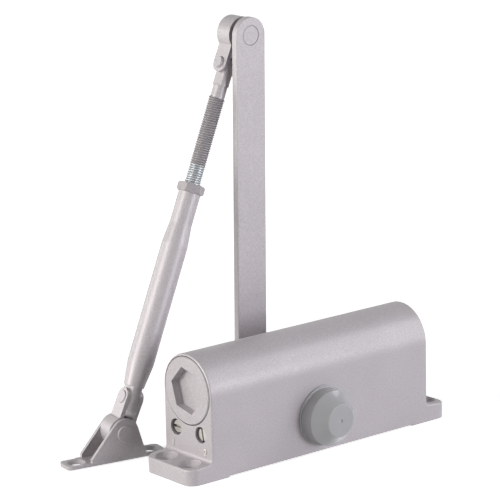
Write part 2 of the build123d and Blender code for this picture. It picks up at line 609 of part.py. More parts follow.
# Speed valves: slotted needle screws with an O-ring, sunk in the left end face
def speed_valve(y, slot_turn):
    """Valve screw and its O-ring, on a line parallel to the bore."""
    head_radius = VALVE_HEAD_DIAMETER / 2
    body_radius = VALVE_BORE_RADIUS - THREAD_CLEARANCE
    groove_radius = VALVE_BORE_RADIUS - VALVE_SEAL_SECTION - 2 * FIT_CLEARANCE
    start = -HALF_LENGTH + VALVE_RECESS
    groove = start + VALVE_SEAL_INSET - VALVE_SEAL_SECTION / 2 - FIT_CLEARANCE
    groove_end = groove + VALVE_SEAL_SECTION + 2 * FIT_CLEARANCE
    head_end = start + VALVE_HEAD_HEIGHT
    body_end = start + VALVE_BODY_LENGTH
    needle_radius = VALVE_NEEDLE_DIAMETER / 2
    tip = start + VALVE_LENGTH
    with BuildPart() as valve:
        with BuildSketch(along_plane(y, VALVE_HEIGHT)):
            with BuildLine():
                Polyline(
                    (start, 0),
                    (start, head_radius),
                    (head_end, head_radius),
                    (head_end, body_radius),
                    (groove, body_radius),
                    (groove, groove_radius),
                    (groove_end, groove_radius),
                    (groove_end, body_radius),
                    (body_end, body_radius),
                    (body_end, needle_radius),
                    (tip - needle_radius, needle_radius),
                    (tip, 0),
                    close=True,
                )
            make_face()
        revolve(axis=Axis((0, y, VALVE_HEIGHT), (1, 0, 0)))
        with BuildSketch(Plane(origin=(start, y, VALVE_HEIGHT), x_dir=(0, 1, 0), z_dir=(1, 0, 0))):
            Rectangle(VALVE_BORE_DIAMETER, VALVE_SLOT_WIDTH, rotation=slot_turn)
        extrude(amount=VALVE_SLOT_DEPTH, mode=Mode.SUBTRACT)
    with BuildPart() as seal:
        seal_middle = (start + VALVE_SEAL_INSET, y, VALVE_HEIGHT)
        with Locations(Plane(origin=seal_middle, x_dir=(0, 1, 0), z_dir=(1, 0, 0))):
            Torus(VALVE_BORE_RADIUS - FIT_CLEARANCE - VALVE_SEAL_SECTION / 2, VALVE_SEAL_SECTION / 2)
    return valve.part, seal.part


pieces["sweep_valve"], pieces["sweep_valve_seal"] = speed_valve(VALVE_SIDE, SWEEP_SLOT_TURN)
pieces["latch_valve"], pieces["latch_valve_seal"] = speed_valve(-VALVE_SIDE, LATCH_SLOT_TURN)

# Spindle cap: hollow moulding whose spigot plugs into the front of the spindle bore
CAP_SPIGOT_RADIUS = CHAMBER_RADIUS - FIT_CLEARANCE

with BuildPart() as pinion_cap:
    with BuildSketch(Plane(origin=(0, -HALF_WIDTH, PINION_HEIGHT), x_dir=(1, 0, 0), z_dir=(0, 0, 1))):
        with BuildLine():
            neck_radius = CAP_NECK_DIAMETER / 2
            disc_radius = CAP_DISC_DIAMETER / 2
            shoulder = (neck_radius - CAP_DRAFT, -CAP_NECK_HEIGHT)
            disc_edge = (disc_radius, -CAP_HEIGHT)
            outside = Polyline(
                (CAP_SPIGOT_RADIUS - CAP_WALL, SPIGOT_DEPTH - RUN_CLEARANCE),
                (CAP_SPIGOT_RADIUS, SPIGOT_DEPTH - RUN_CLEARANCE),
                (CAP_SPIGOT_RADIUS, 0),
                (CAP_FLANGE_DIAMETER / 2, 0),
                (CAP_FLANGE_DIAMETER / 2, -CAP_FLANGE_THICKNESS),
                (neck_radius, -CAP_FLANGE_THICKNESS),
                shoulder,
            )
            SagittaArc(shoulder, disc_edge, -CAP_BULGE)
            inside = Polyline(
                disc_edge,
                (0, -CAP_HEIGHT),
                (0, CAP_WALL - CAP_HEIGHT),
                (disc_radius - CAP_WALL / 2, CAP_WALL - CAP_HEIGHT),
                (neck_radius - CAP_DRAFT - CAP_WALL, CAP_WALL / 2 - CAP_NECK_HEIGHT),
                (neck_radius - CAP_DRAFT - CAP_WALL, -2 * CAP_FLANGE_THICKNESS),
                outside @ 0,
            )
        make_face()
    revolve(axis=Axis((0, 0, PINION_HEIGHT), (0, 1, 0)))
    disc_rim = edges().filter_by(GeomType.CIRCLE).group_by(Axis.Y)[0]
    fillet(disc_rim, CAP_DISC_ROUND)
    with BuildSketch(back_plane(0, -HALF_WIDTH - CAP_HEIGHT, PINION_HEIGHT)):
        Circle(CAP_DIMPLE_DIAMETER / 2)
    extrude(amount=CAP_DIMPLE_DEPTH, mode=Mode.SUBTRACT)
pieces["pinion_cap"] = pinion_cap.part

# Hub: forged boss that fits over the square stub and is staked into the arm
with BuildPart() as arm_hub:
    with BuildSketch(back_plane(0, HALF_WIDTH + HUB_GAP, PINION_HEIGHT)):
        Circle(HUB_DIAMETER / 2)
    extrude(amount=ARM_STANDOFF - HUB_GAP)
    chamfer(edges().filter_by(GeomType.CIRCLE).group_by(Axis.Y)[0], HUB_EDGE_CHAMFER)
    with BuildSketch(back_plane(0, ARM_FRONT, PINION_HEIGHT)):
        Circle(HUB_SPIGOT_DIAMETER / 2)
    extrude(amount=ARM_THICKNESS)
    with BuildSketch(back_plane(0, HALF_WIDTH, PINION_HEIGHT)):
        Rectangle(SQUARE_SIZE + 2 * RUN_CLEARANCE, SQUARE_SIZE + 2 * RUN_CLEARANCE)
    extrude(amount=STUB_LENGTH + THREAD_CLEARANCE, mode=Mode.SUBTRACT)
    with BuildSketch(back_plane(0, HALF_WIDTH, PINION_HEIGHT)):
        Circle(TAP_DIAMETER / 2 + THREAD_CLEARANCE)
    extrude(amount=ARM_STANDOFF + ARM_THICKNESS, mode=Mode.SUBTRACT)
pieces["arm_hub"] = arm_hub.part

# Main arm: flat bar with a full round at the elbow and a wider eye at the hub
ARM_PLANE = Plane(origin=(0, ARM_FRONT, PINION_HEIGHT), x_dir=ARM_DIRECTION, z_dir=(0, -1, 0))

with BuildPart() as main_arm:
    with BuildSketch(ARM_PLANE):
        with Locations((ARM_LENGTH / 2, 0)):
            SlotCenterToCenter(ARM_LENGTH, ARM_WIDTH)
        Circle(HUB_DIAMETER / 2)
        Circle(HUB_SPIGOT_DIAMETER / 2 + FIT_CLEARANCE, mode=Mode.SUBTRACT)
        with Locations((ARM_LENGTH, 0)):
            Circle(ELBOW_TENON_DIAMETER / 2 + FIT_CLEARANCE, mode=Mode.SUBTRACT)
    extrude(amount=-ARM_THICKNESS)
    outline = faces().filter_by(Axis.Y).edges().filter_by(lambda e: not e.is_closed)
    fillet(outline, ARM_EDGE_ROUND)
pieces["main_arm"] = main_arm.part

pieces["arm_washer"] = ring(
    back_plane(0, ARM_BACK, PINION_HEIGHT),
    ARM_WASHER_DIAMETER / 2,
    TAP_DIAMETER / 2 + THREAD_CLEARANCE,
    ARM_WASHER_THICKNESS,
)

with BuildPart() as arm_screw:
    screw_tip = STUB_END - TAP_DEPTH + ARM_SCREW_END_GAP
    with BuildSketch(back_plane(0, screw_tip, PINION_HEIGHT)):
        Circle(ARM_SCREW_DIAMETER / 2)
    extrude(amount=ARM_BACK + ARM_WASHER_THICKNESS - screw_tip)
    with BuildSketch(back_plane(0, ARM_BACK + ARM_WASHER_THICKNESS, PINION_HEIGHT)):
        RegularPolygon(ARM_SCREW_HEAD_FLATS / 2, HEX_SIDES, major_radius=False)
    extrude(amount=ARM_SCREW_HEAD_HEIGHT)
pieces["arm_screw"] = arm_screw.part

# Elbow pin: flush tenon in the arm, journal in the link's bush, riveted head behind
with BuildPart() as elbow_pin:
    with BuildSketch(back_plane(ELBOW.X, ARM_FRONT, ELBOW.Z)):
        Circle(ELBOW_TENON_DIAMETER / 2)
    extrude(amount=ARM_THICKNESS)
    chamfer(edges().group_by(Axis.Y)[0], ELBOW_TENON_CHAMFER)
    with BuildSketch(back_plane(ELBOW.X, ARM_BACK, ELBOW.Z)):
        Circle(ELBOW_PIN_DIAMETER / 2)
    extrude(amount=STRAP_END + RUN_CLEARANCE - ARM_BACK)
    with BuildSketch(back_plane(ELBOW.X, STRAP_END + RUN_CLEARANCE, ELBOW.Z)):
        Circle(ELBOW_HEAD_DIAMETER / 2)
    extrude(amount=ELBOW_HEAD_HEIGHT)
    fillet(edges().group_by(Axis.Y)[-1], ELBOW_HEAD_HEIGHT / 2)
pieces["elbow_pin"] = elbow_pin.part

pieces["elbow_washer"] = ring(
    back_plane(ELBOW.X, ELBOW_WASHER_START, ELBOW.Z),
    ELBOW_WASHER_DIAMETER / 2,
    ELBOW_PIN_DIAMETER / 2 + RUN_CLEARANCE,
    ELBOW_WASHER_THICKNESS,
)


# Strap links: sheet bent round a bush, with two ears that hold a forearm tongue
def strap_link(plane, pin_radius, rivet_distance):
    """Strap and bush round a pin at the plane's origin, with ears along local x."""
    bush_radius = pin_radius + RUN_CLEARANCE + BUSH_WALL
    loop_radius = bush_radius + RUN_CLEARANCE
    outer_radius = loop_radius + STRAP_THICKNESS
    ear_start = math.sqrt(outer_radius**2 - EAR_FACE**2) - STRAP_THICKNESS / 2
    with BuildPart() as strap:
        with BuildSketch(plane):
            Circle(outer_radius)
            Circle(loop_radius, mode=Mode.SUBTRACT)
            with Locations((outer_radius, 0)):
                Rectangle(2 * outer_radius, 2 * EAR_GAP_HALF, mode=Mode.SUBTRACT)
        extrude(amount=STRAP_WIDTH / 2, both=True)
        for side in (-1, 1):
            ear_origin = plane.origin + plane.y_dir * (side * EAR_GAP_HALF)
            with BuildSketch(Plane(origin=ear_origin, x_dir=plane.x_dir, z_dir=plane.y_dir * side)):
                with Locations(((ear_start + rivet_distance) / 2, 0)):
                    Rectangle(rivet_distance - ear_start, STRAP_WIDTH)
                with Locations((rivet_distance, 0)):
                    Circle(STRAP_WIDTH / 2)
                    Circle(RIVET_DIAMETER / 2 + FIT_CLEARANCE, mode=Mode.SUBTRACT)
            extrude(amount=STRAP_THICKNESS)
    bush = ring(plane.offset(-STRAP_WIDTH / 2), bush_radius, pin_radius + RUN_CLEARANCE, STRAP_WIDTH)
    return strap.part, bush


pieces["elbow_link"], pieces["elbow_bush"] = strap_link(
    ELBOW_PLANE, ELBOW_PIN_DIAMETER / 2, ELBOW_RIVET_DISTANCE
)
pieces["shoe_link"], pieces["shoe_bush"] = strap_link(
    SHOE_LINK_PLANE, SHOE_PIN_DIAMETER / 2, SHOE_LINK_LENGTH
)


# Cross rivets: a shank through both ears and the tongue, with a low head at each end
def cross_rivet(middle, axis, head_diameter, head_height):
    """Rivet through a pair of ears, centred on a point."""
    with BuildPart() as rivet:
        with BuildSketch(Plane(origin=middle - axis * EAR_FACE, z_dir=axis)):
            Circle(RIVET_DIAMETER / 2)
        extrude(amount=2 * EAR_FACE)
        for side in (-1, 1):
            with BuildSketch(Plane(origin=middle + axis * (side * EAR_FACE), z_dir=axis * side)):
                Circle(head_diameter / 2)
            extrude(amount=head_height, taper=HEAD_TAPER)
    return rivet.part


pieces["upper_rivet"] = cross_rivet(UPPER_RIVET, UPPER_RIVET_AXIS, UPPER_HEAD_DIAMETER, UPPER_HEAD_HEIGHT)
pieces["lower_rivet"] = cross_rivet(LOWER_RIVET, LOWER_RIVET_AXIS, LOWER_HEAD_DIAMETER, LOWER_HEAD_HEIGHT)


# Forearm tongues: two flats on the round end of the rod and of the sleeve
def flat_plane(rivet_axis, distance):
    """Plane across a cross rivet, with local x along the forearm from the elbow."""
    return Plane(origin=FOREARM_ORIGIN + rivet_axis * distance, x_dir=FOREARM_DIRECTION, z_dir=rivet_axis)


def flats_cutter(rivet_axis, start, end, round_diameter):
    """Pair of blocks that leave a tongue between two distances along the forearm."""
    with BuildPart() as cutter:
        for side in (-1, 1):
            with BuildSketch(flat_plane(rivet_axis, side * TONGUE_THICKNESS / 2)):
                with Locations(((start + end) / 2, 0)):
                    Rectangle(end - start, 2 * round_diameter)
            extrude(amount=side * round_diameter)
    return cutter.part


def rivet_drill(rivet_axis, distance):
    """Round bar that drills a tongue for its cross rivet."""
    with BuildPart() as drill:
        with BuildSketch(flat_plane(rivet_axis, 0)):
            with Locations((distance, 0)):
                Circle(RIVET_DIAMETER / 2 + RUN_CLEARANCE)
        extrude(amount=TONGUE_THICKNESS, both=True)
    return drill.part


rod_flats = flats_cutter(UPPER_RIVET_AXIS, ELBOW_RIVET_DISTANCE, ROD_SHOULDER, ROD_HEAD_DIAMETER)
rod_drill = rivet_drill(UPPER_RIVET_AXIS, ELBOW_RIVET_DISTANCE)
sleeve_flats = flats_cutter(LOWER_RIVET_AXIS, SLEEVE_END, SLEEVE_TONGUE_END, SLEEVE_TONGUE_DIAMETER)
sleeve_drill = rivet_drill(LOWER_RIVET_AXIS, FOREARM_LENGTH)

# Threaded rod: eye, plain shank and ring-cut thread
with BuildPart() as threaded_rod:
    rod_radius = ROD_DIAMETER / 2
    root_radius = rod_radius - THREAD_DEPTH
    thread_count = math.floor((ROD_END - THREAD_START) / THREAD_PITCH)
    thread_points = []
    for turn in range(thread_count):
        groove = THREAD_START + turn * THREAD_PITCH
        thread_points.append((groove, rod_radius))
        thread_points.append((groove + THREAD_PITCH / 2, root_radius))
    with BuildSketch(FOREARM_PLANE):
        with BuildLine():
            Polyline(
                (ELBOW_RIVET_DISTANCE, 0),
                (ELBOW_RIVET_DISTANCE, ROD_HEAD_DIAMETER / 2),
                (ROD_SHOULDER, ROD_HEAD_DIAMETER / 2),
                (ROD_SHOULDER, ROD_SHANK_DIAMETER / 2),
                (THREAD_START, ROD_SHANK_DIAMETER / 2),
                *thread_points,
                (ROD_END, root_radius),
                (ROD_END, 0),
                close=True,
            )
        make_face()
    revolve(axis=FOREARM_AXIS)
    add(rod_flats, mode=Mode.SUBTRACT)
    with BuildSketch(flat_plane(UPPER_RIVET_AXIS, 0)):
        with Locations((ELBOW_RIVET_DISTANCE, 0)):
            Circle(ROD_HEAD_DIAMETER / 2)
    extrude(amount=TONGUE_THICKNESS / 2, both=True)
    add(rod_drill, mode=Mode.SUBTRACT)
pieces["threaded_rod"] = threaded_rod.part

# Lock nut: thin hexagon with turned-off corners
with BuildPart() as lock_nut:
    nut_radius = NUT_FLATS / 2 / math.cos(math.pi / HEX_SIDES)
    nut_origin = FOREARM_ORIGIN + FOREARM_DIRECTION * NUT_START
    with BuildSketch(Plane(origin=nut_origin, x_dir=(0, 1, 0), z_dir=FOREARM_DIRECTION)):
        RegularPolygon(NUT_FLATS / 2, HEX_SIDES, major_radius=False)
    extrude(amount=NUT_HEIGHT)
    with BuildSketch(FOREARM_PLANE):
        with BuildLine():
            Polyline(
                (NUT_START, ROD_DIAMETER / 2 + RUN_CLEARANCE),
                (NUT_START, NUT_FLATS / 2),
                (NUT_START + NUT_CORNER_CHAMFER, nut_radius),
                (SLEEVE_START - NUT_CORNER_CHAMFER, nut_radius),
                (SLEEVE_START, NUT_FLATS / 2),
                (SLEEVE_START, ROD_DIAMETER / 2 + RUN_CLEARANCE),
                close=True,
            )
        make_face()
    revolve(axis=FOREARM_AXIS, mode=Mode.INTERSECT)
pieces["lock_nut"] = lock_nut.part

# Sleeve: drawn tube with a threaded neck above and a flat tongue below
with BuildPart() as sleeve:
    with BuildSketch(FOREARM_PLANE):
        with BuildLine():
            Polyline(
                (SLEEVE_START, ROD_DIAMETER / 2 + RUN_CLEARANCE),
                (SLEEVE_START, SLEEVE_NECK_DIAMETER / 2),
                (NECK_END, SLEEVE_NECK_DIAMETER / 2),
                (TUBE_START, SLEEVE_DIAMETER / 2),
                (TUBE_END, SLEEVE_DIAMETER / 2),
                (SLEEVE_END, SLEEVE_TONGUE_DIAMETER / 2),
                (SLEEVE_TONGUE_END, SLEEVE_TONGUE_DIAMETER / 2),
                (SLEEVE_TONGUE_END, 0),
                (SLEEVE_BORE_END, 0),
                (SLEEVE_BORE_END, ROD_DIAMETER / 2 + RUN_CLEARANCE),
                close=True,
            )
        make_face()
    revolve(axis=FOREARM_AXIS)
    add(sleeve_flats, mode=Mode.SUBTRACT)
    add(sleeve_drill, mode=Mode.SUBTRACT)
pieces["sleeve"] = sleeve.part

# Shoe: bent sheet with two ears for the pin and a drilled flange at each end
with BuildPart() as shoe:
    with BuildSketch(SHOE_PLANE):
        with Locations(((SHOE_REACH_RIGHT - SHOE_REACH_LEFT) / 2, 0)):
            RectangleRounded(SHOE_REACH_LEFT + SHOE_REACH_RIGHT, SHOE_FLANGE_WIDTH, SHOE_CORNER_RADIUS)
        with Locations(((SHOE_BASE_RIGHT - SHOE_BASE_LEFT) / 2, 0)):
            Rectangle(SHOE_BASE_LEFT + SHOE_BASE_RIGHT, 2 * SHOE_FACE)
    extrude(amount=SHOE_SHEET)
    for side in (-1, 1):
        ear_origin = SHOE_FLOOR + SHOE_PIN_AXIS * (side * SHOE_FACE)
        with BuildSketch(Plane(origin=ear_origin, x_dir=SHOE_PLANE.x_dir, z_dir=-SHOE_PIN_AXIS)):
            with BuildLine():
                CenterArc((0, SHOE_PIN_HEIGHT), EAR_APEX_RADIUS, 0, 360)
                Polyline(
                    (-EAR_FOOT_LEFT, EAR_FOOT_RISE),
                    (-EAR_FOOT_LEFT, 0),
                    (EAR_FOOT_RIGHT, 0),
                    (EAR_FOOT_RIGHT, EAR_FOOT_RISE),
                )
            make_hull()
            with Locations((0, SHOE_PIN_HEIGHT)):
                Circle(SHOE_TENON_DIAMETER / 2 + FIT_CLEARANCE, mode=Mode.SUBTRACT)
        extrude(amount=side * SHOE_SHEET)
    bend_lines = edges().filter_by(Axis(SHOE_FLOOR, SHOE_PLANE.x_dir)).group_by(Axis.Z)[0]
    ear_bends = bend_lines.filter_by(
        lambda e: abs(SHOE_PLANE.to_local_coords(e.center()).Y) > SHOE_FACE - FIT_CLEARANCE
    )
    fillet(ear_bends, SHOE_BEND_RADIUS)
    with Locations(SHOE_PLANE.offset(SHOE_SHEET)):
        with Locations((SHOE_HOLE_INSET - SHOE_REACH_LEFT, 0), (SHOE_REACH_RIGHT - SHOE_HOLE_INSET, 0)):
            CounterSinkHole(SHOE_HOLE_DIAMETER / 2, SHOE_SINK_DIAMETER / 2, 2 * SHOE_SHEET, SINK_ANGLE)
pieces["shoe"] = shoe.part

# Shoe pin: journal in the link's bush, a tenon in each ear and a low riveted head
with BuildPart() as shoe_pin:
    with BuildSketch(Plane(origin=SHOE_PIN, z_dir=SHOE_PIN_AXIS)):
        Circle(SHOE_PIN_DIAMETER / 2)
    extrude(amount=SHOE_GAP_HALF, both=True)
    with BuildSketch(Plane(origin=SHOE_PIN, z_dir=SHOE_PIN_AXIS)):
        Circle(SHOE_TENON_DIAMETER / 2)
    extrude(amount=SHOE_FACE, both=True)
    for side in (-1, 1):
        head_origin = SHOE_PIN + SHOE_PIN_AXIS * (side * SHOE_FACE)
        with BuildSketch(Plane(origin=head_origin, z_dir=SHOE_PIN_AXIS * side)):
            Circle(SHOE_HEAD_DIAMETER / 2)
        extrude(amount=SHOE_HEAD_HEIGHT, taper=HEAD_TAPER)
pieces["shoe_pin"] = shoe_pin.part

os.makedirs("parts", exist_ok=True)
for name, piece in pieces.items():
    piece.label = name
    export_step(piece, f"parts/{name}.step")
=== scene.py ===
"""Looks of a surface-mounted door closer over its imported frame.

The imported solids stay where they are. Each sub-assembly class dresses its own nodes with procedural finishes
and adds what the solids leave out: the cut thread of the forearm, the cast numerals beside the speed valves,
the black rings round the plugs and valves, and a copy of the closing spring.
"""

import json
import logging
import math
from dataclasses import dataclass, field
from enum import Enum

import bpy
from mathutils import Matrix, Vector

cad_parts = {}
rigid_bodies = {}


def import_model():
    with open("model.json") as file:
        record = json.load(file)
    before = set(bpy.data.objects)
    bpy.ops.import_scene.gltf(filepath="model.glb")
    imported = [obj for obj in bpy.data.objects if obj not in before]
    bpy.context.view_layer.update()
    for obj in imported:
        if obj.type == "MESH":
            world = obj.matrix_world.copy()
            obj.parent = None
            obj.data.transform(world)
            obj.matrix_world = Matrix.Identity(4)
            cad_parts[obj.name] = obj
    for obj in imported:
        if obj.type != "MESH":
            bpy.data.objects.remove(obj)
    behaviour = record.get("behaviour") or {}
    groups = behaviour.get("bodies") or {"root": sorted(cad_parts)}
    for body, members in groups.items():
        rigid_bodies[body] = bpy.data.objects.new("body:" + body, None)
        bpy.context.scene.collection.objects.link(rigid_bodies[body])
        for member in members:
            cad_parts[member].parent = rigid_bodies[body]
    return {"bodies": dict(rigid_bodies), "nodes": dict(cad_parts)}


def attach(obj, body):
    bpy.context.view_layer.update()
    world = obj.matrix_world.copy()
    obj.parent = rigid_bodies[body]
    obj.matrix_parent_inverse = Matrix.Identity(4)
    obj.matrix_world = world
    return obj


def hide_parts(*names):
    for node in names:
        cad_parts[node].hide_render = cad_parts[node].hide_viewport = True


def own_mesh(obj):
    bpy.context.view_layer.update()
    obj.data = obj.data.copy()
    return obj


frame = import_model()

log = logging.getLogger("door_closer")
MM = 0.001
# Points nearer to each other than this are welded, in millimetres.
WELD_MM = 0.002
# Noise values between which a grain's and a mottle's tones run.
GRAIN_SPAN = (0.3, 0.7)
MOTTLE_SPAN = (0.35, 0.65)
# Octaves of the noise that draws a grain and a mottle, and how much each finer one counts.
GRAIN_NOISE = {"Detail": 2.0, "Roughness": 0.6}
MOTTLE_NOISE = {"Detail": 3.0, "Roughness": 0.5}
# Rays that feel for an edge that looks rounded off.
EDGE_RAYS = 6
# Cosine of the turn of a rounded edge's normal at which the painted highlight begins, and at which it is full.
HIGHLIGHT_SPAN = (0.97, 0.8)
WHITE = "#FFFFFF"


def linear(hex_colour: str) -> tuple[float, float, float, float]:
    """Turns an sRGB hex colour into linear light.

    Args:
        hex_colour: Six hex digits, with or without a leading hash.

    Returns:
        Linear red, green, blue and an alpha of 1.
    """
    digits = hex_colour.lstrip("#")
    parts = [int(digits[i:i + 2], 16) / 255 for i in (0, 2, 4)]
    light = [c / 12.92 if c <= 0.04045 else ((c + 0.055) / 1.055) ** 2.4 for c in parts]
    return (light[0], light[1], light[2], 1.0)


def per_metre(size_mm: float) -> float:
    """Returns the texture scale at which one feature is size_mm wide."""
    return 1 / MM / size_mm


def add_node(
    tree: bpy.types.NodeTree, kind: str, inputs: dict | None = None, **settings: object
) -> bpy.types.Node:
    """Adds a node with its settings, values and links.

    Args:
        tree: The node tree that the node goes into.
        kind: The node's type name.
        inputs: Values or output sockets by input name or number. A socket is linked, any other value is set.
        **settings: Properties of the node itself.

    Returns:
        The new node.
    """
    node = tree.nodes.new(kind)
    for key, value in settings.items():
        setattr(node, key, value)
    for key, value in (inputs or {}).items():
        if isinstance(value, bpy.types.NodeSocket):
            tree.links.new(value, node.inputs[key])
        else:
            node.inputs[key].default_value = value
    return node


def blank_material(name: str) -> bpy.types.Material:
    """Makes a material with an empty node tree.

    Args:
        name: Name of the material.

    Returns:
        The new material.
    """
    material = bpy.data.materials.new(name)
    material.use_nodes = True
    material.node_tree.nodes.clear()
    return material


class Seen(Enum):
    """What a ray has to be for the white surroundings to show."""

    CAMERA = "Is Camera Ray"
    GLOSSY = "Is Glossy Ray"
    TRANSMISSION = "Is Transmission Ray"


def shown_to_eye(tree: bpy.types.NodeTree) -> bpy.types.NodeSocket:
    """Adds the nodes that are 1 for camera, glossy and transmission rays.

    Args:
        tree: The node tree of the floor or the world.

    Returns:
        The socket that holds the factor.
    """
    rays = add_node(tree, "ShaderNodeLightPath")
    camera, glossy, through = (rays.outputs[ray.value] for ray in Seen)
    first = add_node(tree, "ShaderNodeMath", {0: camera, 1: glossy}, operation="MAXIMUM")
    both = add_node(tree, "ShaderNodeMath", {0: first.outputs[0], 1: through}, operation="MAXIMUM")
    return both.outputs[0]


@dataclass(frozen=True)
class Finish:
    """A surface finish: two close tones in a grain, a broad mottle, and grain in roughness and bump.

    Attributes:
        name: What the material is and how its surface was made.
        dark: Tone in the grain's low spots, sRGB hex.
        light: Tone on the grain's high spots, sRGB hex.
        grain_mm: Width of one grain.
        mottle_mm: Width of the broad variation.
        mottle: Share of brightness that the broad variation takes away.
        metallic: Share of metal in the surface.
        roughness: Middle roughness.
        roughness_swing: How far the grain moves the roughness to each side.
        bump_mm: Height of the grain.
        edge_mm: Radius to which the piece's sharp edges look rounded off, or 0 for edges as they are.
        edge_highlight: Share of white that the tone takes on along those edges, as a painted highlight.
    """

    name: str
    dark: str
    light: str
    grain_mm: float
    mottle_mm: float
    mottle: float
    metallic: float
    roughness: float
    roughness_swing: float
    bump_mm: float
    edge_mm: float = 0.0
    edge_highlight: float = 0.0

    def material(self) -> bpy.types.Material:
        """Returns the finish's material, made at its first use."""
        found = bpy.data.materials.get(self.name)
        if found is not None:
            return found
        material = blank_material(self.name)
        shader = self.shader(material.node_tree)
        add_node(material.node_tree, "ShaderNodeOutputMaterial", {"Surface": shader.outputs[0]})
        return material

    def shader(self, tree: bpy.types.NodeTree) -> bpy.types.Node:
        """Builds the finish's shader.

        Args:
            tree: The material's node tree.

        Returns:
            The shader node, with its surface on output 0.
        """
        place = add_node(tree, "ShaderNodeTexCoord").outputs["Object"]
        grain = add_node(tree, "ShaderNodeTexNoise", {
            "Vector": place, "Scale": per_metre(self.grain_mm), **GRAIN_NOISE,
        }).outputs["Fac"]
        broad = add_node(tree, "ShaderNodeTexNoise", {
            "Vector": place, "Scale": per_metre(self.mottle_mm), **MOTTLE_NOISE,
        }).outputs["Fac"]
        spread = add_node(tree, "ShaderNodeMapRange", {
            "Value": grain, "From Min": GRAIN_SPAN[0], "From Max": GRAIN_SPAN[1],
        })
        # A mix of colours takes its factor on input 0 and its colours on 6 and 7, and gives its result on 2.
        tone = add_node(tree, "ShaderNodeMix", {
            0: spread.outputs[0], 6: linear(self.dark), 7: linear(self.light),
        }, data_type="RGBA")
        shade = add_node(tree, "ShaderNodeMapRange", {
            "Value": broad, "From Min": MOTTLE_SPAN[0], "From Max": MOTTLE_SPAN[1],
            "To Min": 1.0 - self.mottle, "To Max": 1.0,
        })
        colour = add_node(tree, "ShaderNodeMix", {
            0: 1.0, 6: tone.outputs[2], 7: shade.outputs[0],
        }, data_type="RGBA", blend_type="MULTIPLY").outputs[2]
        gloss = add_node(tree, "ShaderNodeMapRange", {
            "Value": grain, "From Min": GRAIN_SPAN[0], "From Max": GRAIN_SPAN[1],
            "To Min": self.roughness - self.roughness_swing, "To Max": self.roughness + self.roughness_swing,
        })
        bump = add_node(tree, "ShaderNodeBump", {
            "Height": grain, "Strength": 1.0, "Distance": self.bump_mm * MM,
        })
        if self.edge_mm > 0:
            edge = add_node(tree, "ShaderNodeBevel", {"Radius": self.edge_mm * MM}, samples=EDGE_RAYS)
            tree.links.new(edge.outputs[0], bump.inputs["Normal"])
            if self.edge_highlight > 0:
                colour = self.edge_highlighted(tree, colour, edge.outputs[0])
        return add_node(tree, "ShaderNodeBsdfPrincipled", {
            "Base Color": colour, "Metallic": self.metallic, "Roughness": gloss.outputs[0],
            "Normal": bump.outputs[0],
        })

    def edge_highlighted(
        self, tree: bpy.types.NodeTree, colour: bpy.types.NodeSocket, rounded: bpy.types.NodeSocket
    ) -> bpy.types.NodeSocket:
        """Paints a highlight: lightens a colour along the edges that look rounded off.

        Args:
            tree: The material's node tree.
            colour: The colour away from edges.
            rounded: The normal of the surface with its edges rounded off.

        Returns:
            The colour with its painted edge highlights.
        """
        plain = add_node(tree, "ShaderNodeNewGeometry")
        turned = add_node(tree, "ShaderNodeVectorMath", {
            0: rounded, 1: plain.outputs["Normal"],
        }, operation="DOT_PRODUCT")
        highlight = add_node(tree, "ShaderNodeMapRange", {
            "Value": turned.outputs["Value"], "From Min": HIGHLIGHT_SPAN[0], "From Max": HIGHLIGHT_SPAN[1],
            "To Min": 0.0, "To Max": self.edge_highlight,
        })
        return add_node(tree, "ShaderNodeMix", {
            0: highlight.outputs[0], 6: colour, 7: linear(WHITE),
        }, data_type="RGBA").outputs[2]


# Stoving paint with aluminium flake, sprayed: a satin grey with a faint sparkle. The flake itself is far
# finer than a pixel, so its grain is drawn coarse enough to show.
# Its edges carry a faint painted highlight.
PAINT = Finish(
    "Stoved aluminium-flake paint", dark="#B4AFB3", light="#CAC5C8", grain_mm=0.75, mottle_mm=30.0,
    mottle=0.05, metallic=0.15, roughness=0.42, roughness_swing=0.05, bump_mm=0.012, edge_mm=0.2,
    edge_highlight=0.3,
)
# The same paint, duller, in a darker tone on the lock nut: the darker tone is painted shade.
DARKENED_PAINT = Finish(
    "Darkened aluminium-flake paint", dark="#A19C9F", light="#B5B0B3", grain_mm=0.75, mottle_mm=12.0,
    mottle=0.06, metallic=0.15, roughness=0.48, roughness_swing=0.05, bump_mm=0.012, edge_mm=0.2,
)
# The same paint in a lighter tone on the raised numerals: a painted highlight.
NUMERAL_HIGHLIGHT_PAINT = Finish(
    "Aluminium-flake paint with painted highlight", dark="#DCD9D8", light="#EEEBEA", grain_mm=0.5, mottle_mm=10.0,
    mottle=0.05, metallic=0.3, roughness=0.35, roughness_swing=0.05, bump_mm=0.004,
)
# Satin ABS, moulded in a lightly eroded tool: even grey with a soft gloss, and a painted highlight along its
# edges.
CAP_ABS = Finish(
    "Moulded satin ABS", dark="#B2B2B4", light="#BCBCBE", grain_mm=0.45, mottle_mm=18.0, mottle=0.04,
    metallic=0.0, roughness=0.2, roughness_swing=0.03, bump_mm=0.003, edge_mm=0.45, edge_highlight=0.8,
)
# Bright zinc plate over rolled steel: bluish and glossy with a fine roll grain.
ZINC = Finish(
    "Bright zinc-plated steel", dark="#B9BEC4", light="#D6DADF", grain_mm=0.6, mottle_mm=9.0, mottle=0.10,
    metallic=1.0, roughness=0.30, roughness_swing=0.07, bump_mm=0.003,
)
# The same plate on a rolled thread, whose flanks scatter what they reflect.
BARE_THREAD = Finish(
    "Zinc-plated rolled thread", dark="#CBD0D4", light="#E6EAED", grain_mm=1.2, mottle_mm=9.0, mottle=0.06,
    metallic=0.75, roughness=0.40, roughness_swing=0.04, bump_mm=0.001,
)
# Nickel plate on the turned valve heads: a warm grey white.
NICKEL = Finish(
    "Nickel-plated turned steel", dark="#C4C1BA", light="#DAD7D0", grain_mm=0.4, mottle_mm=6.0, mottle=0.06,
    metallic=1.0, roughness=0.34, roughness_swing=0.06, bump_mm=0.002,
)
